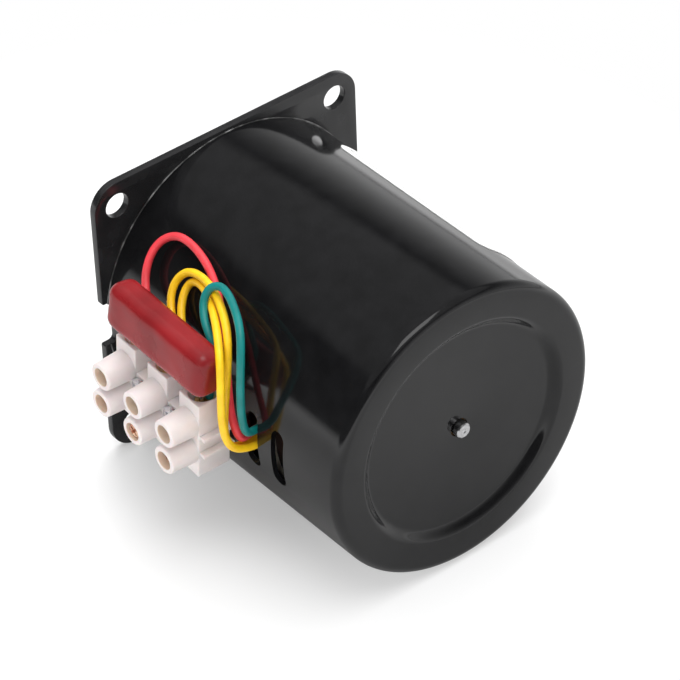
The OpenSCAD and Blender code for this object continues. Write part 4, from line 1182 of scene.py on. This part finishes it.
class MOTOR_OT_set_screws(bpy.types.Operator):
    """Set the clamp screws and the mounting screws of the strip"""

    bl_idname = "motor.set_screws"
    bl_label = "Set Screws"

    def execute(self, context):
        s, base = context.scene.motor_strip, on_strip(context.scene)
        clamp = (s.head, s.head_height, s.shank, s.shank_length, 0.25 * s.head, s.tip)
        mouth, up = s.pole_depth + s.chimney_length, s.chimney_pitch / 2
        row = repeated(screw_mesh(*clamp), "Row", "zinc", count=3, spacing=s.pitch, turn=1.2, seed=4)
        row.transform(base @ Matrix.Translation((s.lead_sink - mouth, 0, up)))
        place("lead_clamp_screws_set", row, "steel", stands_for=("lead_clamp_screws",), material="zinc")
        for pole, sink, turned in ((1, s.end_sink, 20), (2, s.middle_sink, 38), (3, s.end_sink, 64)):
            screw = screw_mesh(*clamp)
            spot = base @ Matrix.Translation((sink - mouth, (2 - pole) * s.pitch, -up))
            screw.transform(spot @ Matrix.Rotation(math.radians(turned), 4, "X"))
            name = "supply_screw_%d" % pole
            place(name + "_set", screw, "copper", name, (name,), material="plating")
        length = s.pole_depth + context.scene.motor_can.radius + s.gap - s.mount_tip
        mount = screw_mesh(s.mount_head, s.mount_height, s.mount_shank, length, 0.35 * s.mount_head, s.tip)
        pair = repeated(mount, "Row", "zinc", count=2, spacing=s.pitch, turn=1.5, seed=7)
        pair.transform(base @ Matrix.Translation((-s.pole_depth - s.mount_height, 0, s.mount_up)))
        place("strip_screws_set", pair, "steel", stands_for=("strip_screws",), material="zinc")
        return {"FINISHED"}


# Capacitor


# Waves per metre of the coat's broad and fine swellings, where the fine ones start and their share
BROAD_WAVES, FINE_WAVES, FINE_START, FINE_SHARE = 210, 520, (3, 7, 1), 0.5
# Shares of the swell: the waves' own, and how far the whole coat lies inside the box
WAVE_SHARE, SUNK_SHARE = 0.9, 0.8
BODY_CUTS = 31


class MOTOR_OT_dip_capacitor(bpy.types.Operator):
    """Dip the capacitor: a rounded body with the uneven coat of such parts"""

    bl_idname = "motor.dip_capacitor"
    bl_label = "Dip Capacitor"

    def execute(self, context):
        s = context.scene.motor_capacitor
        bm = bmesh.new()
        bmesh.ops.create_cube(bm, size=2.0)
        bmesh.ops.subdivide_edges(bm, edges=bm.edges, cuts=BODY_CUTS, use_grid_fill=True)
        half = Vector((s.thickness / 2, s.length / 2, s.height / 2))
        core = half - Vector((s.edge, s.edge, s.edge))
        for vert in bm.verts:
            spot = Vector(a * b for a, b in zip(vert.co, half))
            heart = Vector(max(-c, min(c, a)) for a, c in zip(spot, core))
            outward = (spot - heart).normalized()
            if outward.length:
                spot = heart + outward * s.edge
            wave = noise.noise(spot * BROAD_WAVES)
            wave += FINE_SHARE * noise.noise(spot * FINE_WAVES + Vector(FINE_START))
            vert.co = spot + outward * s.swell * (WAVE_SHARE * wave - SUNK_SHARE)
        body = mesh_from(bm, "capacitor")
        tilted = Matrix.Rotation(s.tilt, 4, "X") @ Matrix.Rotation(s.lean, 4, "Y")
        body.transform(Matrix.Translation((-s.side, -s.depth, s.up)) @ tilted)
        place("capacitor_body", body, "capacitor_coat", stands_for=("capacitor",), sharp=180)
        return {"FINISHED"}


# Label


LABEL_COLUMNS, CORNER_ROWS = 96, 10


def on_can(radius, angle, depth):
    """A point of the can's surface."""
    return Vector((radius * math.cos(angle), -depth, radius * math.sin(angle)))


def ribbon(bm, line, width, radius, closed):
    """A flat printed line on the label; its points are (angle, depth)."""
    count, relief = len(line), width * 0.04
    rows = []
    for i, (angle, depth) in enumerate(line):
        if closed:
            before, after = line[i - 1], line[(i + 1) % count]
        else:
            before, after = line[max(i - 1, 0)], line[min(i + 1, count - 1)]
        along = Vector(((after[0] - before[0]) * radius, after[1] - before[1])).normalized()
        side = Vector((-along.y, along.x)) * width / 2
        rows.append([
            bm.verts.new(on_can(radius + lift, angle + k * side.x / radius, depth + k * side.y))
            for k, lift in ((-1, 0), (1, 0), (1, relief), (-1, relief))
        ])
    for a, b in zip(rows, rows[1:] + (rows[:1] if closed else [])):
        join_loops(bm, a, b)
    if not closed:
        bm.faces.new(rows[0])
        bm.faces.new(rows[-1])


class MOTOR_OT_stick_label(bpy.types.Operator):
    """Stick the label round the can and print its plain diagram"""

    bl_idname = "motor.stick_label"
    bl_label = "Stick Label"

    def execute(self, context):
        s, radius = context.scene.motor_label, context.scene.motor_can.radius
        low, high = radius + s.lift, radius + s.lift + s.thickness
        middle = s.top - s.sweep / 2
        depths = [
            s.start + s.corner * (1 - math.cos(math.pi / 2 * k / CORNER_ROWS)) for k in range(CORNER_ROWS + 1)
        ]
        depths += [2 * s.start + s.length - d for d in reversed(depths)]
        bm = bmesh.new()
        edges = []
        for r in (high, low):
            rows = []
            for depth in depths:
                near = min(depth - s.start, s.start + s.length - depth, s.corner)
                pulled = s.corner - math.sqrt(max(0, s.corner ** 2 - (s.corner - near) ** 2))
                half = s.sweep / 2 - pulled / radius
                rows.append([
                    bm.verts.new(on_can(r, middle + half * (2 * k / LABEL_COLUMNS - 1), depth))
                    for k in range(LABEL_COLUMNS + 1)
                ])
            for a, b in zip(rows, rows[1:]):
                for k in range(LABEL_COLUMNS):
                    bm.faces.new((a[k], a[k + 1], b[k + 1], b[k]))
            left, right = [row[0] for row in rows[-2:0:-1]], [row[-1] for row in rows[1:-1]]
            edges.append(rows[0] + right + rows[-1][::-1] + left)
        join_loops(bm, *edges)
        place("label_sheet", mesh_from(bm, "label"), "paper", stands_for=("label",))
        diagram = mesh_of("print", self.print_diagram, s, high, middle)
        place("label_print", diagram, "paper", material="ink")
        return {"FINISHED"}

    def print_diagram(self, bm, s, radius, middle):
        """A border, and a plain winding diagram: a ring, two coils, a capacitor and three terminals."""
        step = 0.0008

        def run(*points, closed=False):
            line = []
            ends = list(zip(points, points[1:])) + ([(points[-1], points[0])] if closed else [])
            for (a, b), (c, d) in ends:
                steps = max(1, int(math.hypot(c - a, d - b) / step))
                line += [(a + (c - a) * k / steps, b + (d - b) * k / steps) for k in range(steps)]
            if not closed:
                line.append(points[-1])
            line = [(middle + u / radius, s.start + s.length / 2 + v) for u, v in line]
            ribbon(bm, line, s.line, radius, closed)

        inset = s.corner * 0.7
        side, end, corner = s.sweep / 2 * radius - inset, s.length / 2 - inset, s.corner - inset
        corners = ((side, end), (-side, end), (-side, -end), (side, -end))
        run(*rounded([(*spot, corner) for spot in corners], 6), closed=True)
        # Places round the can and along it from the label's middle, then radii, in metres
        ring_at, terminal_at, coil_at, wire_at, row = 0.006, -0.015, -0.006, -0.0105, 0.011
        ring, core, terminal, bend, bends = 0.0045, 0.0022, 0.0009, 0.00075, 4
        plates, plate_ends = (-0.0053, -0.0037), (-0.0125, -0.0085)
        run(*circle(ring, 40, (ring_at, 0)), closed=True)
        run(*circle(core, 28, (ring_at, 0)), closed=True)
        for v in (-row, 0, row):
            run(*circle(terminal, 20, (terminal_at, v)), closed=True)
        for v in (-row, row):
            run((terminal_at + terminal, v), (coil_at, v))
            coil = [(coil_at, v)]
            for k in range(bends):
                coil += arc(bend, math.pi, 0, 8, (coil_at + bend * (2 * k + 1), v))[1:]
            run(*coil)
            run((0, v), (ring_at, v), (ring_at, math.copysign(ring, v)))
        run((terminal_at + terminal, 0), (ring_at - ring, 0))
        for v, plate_at in zip((-row, row), plates):
            run((wire_at, v), (wire_at, plate_at))
        for plate_at in plates:
            run(*((u, plate_at) for u in plate_ends))


# Add-on


class MOTOR_PT_parts(bpy.types.Panel):
    """Lists what builds the motor"""

    bl_idname = "MOTOR_PT_parts"
    bl_label = "Gear Motor"
    bl_space_type = "VIEW_3D"
    bl_region_type = "UI"
    bl_category = "Gear Motor"

    def draw(self, context):
        for operator in OPERATORS:
            self.layout.operator(operator.bl_idname)


GROUPS = {
    "motor_can": CanSizes, "motor_flange": FlangeSizes, "motor_shafts": ShaftSizes, "motor_strip": StripSizes,
    "motor_capacitor": CapacitorSizes, "motor_leads": LeadSizes, "motor_label": LabelSizes,
    "motor_finishes": Finishes, "motor_stage": StageLook,
}
OPERATORS = (
    MOTOR_OT_set_stage, MOTOR_OT_mix_finishes, MOTOR_OT_lay_leads, MOTOR_OT_draw_can,
    MOTOR_OT_press_flange, MOTOR_OT_turn_shafts, MOTOR_OT_mould_strip, MOTOR_OT_set_screws,
    MOTOR_OT_dip_capacitor, MOTOR_OT_stick_label,
)


def register():
    for name, group in GROUPS.items():
        bpy.utils.register_class(group)
        setattr(bpy.types.Scene, name, bpy.props.PointerProperty(type=group))
    for operator in OPERATORS:
        bpy.utils.register_class(operator)
    bpy.utils.register_class(MOTOR_PT_parts)


def unregister():
    bpy.utils.unregister_class(MOTOR_PT_parts)
    for operator in reversed(OPERATORS):
        bpy.utils.unregister_class(operator)
    for name, group in reversed(GROUPS.items()):
        delattr(bpy.types.Scene, name)
        bpy.utils.unregister_class(group)


def main():
    """Builds the stage and every piece."""
    register()
    repeat_tree("Row", (("Count", "Int", 3), ("Spacing", "Float", 0.01)), even_row)
    repeat_tree("Spots", (("Spots", "Geometry", None),), own_spots)
    bpy.ops.motor.set_stage()
    bpy.ops.motor.mix_finishes()
    bpy.ops.motor.lay_leads()
    bpy.ops.motor.draw_can()
    bpy.ops.motor.press_flange()
    bpy.ops.motor.turn_shafts()
    bpy.ops.motor.mould_strip()
    bpy.ops.motor.set_screws()
    bpy.ops.motor.dip_capacitor()
    bpy.ops.motor.stick_label()


if __name__ == "__main__":
    main()
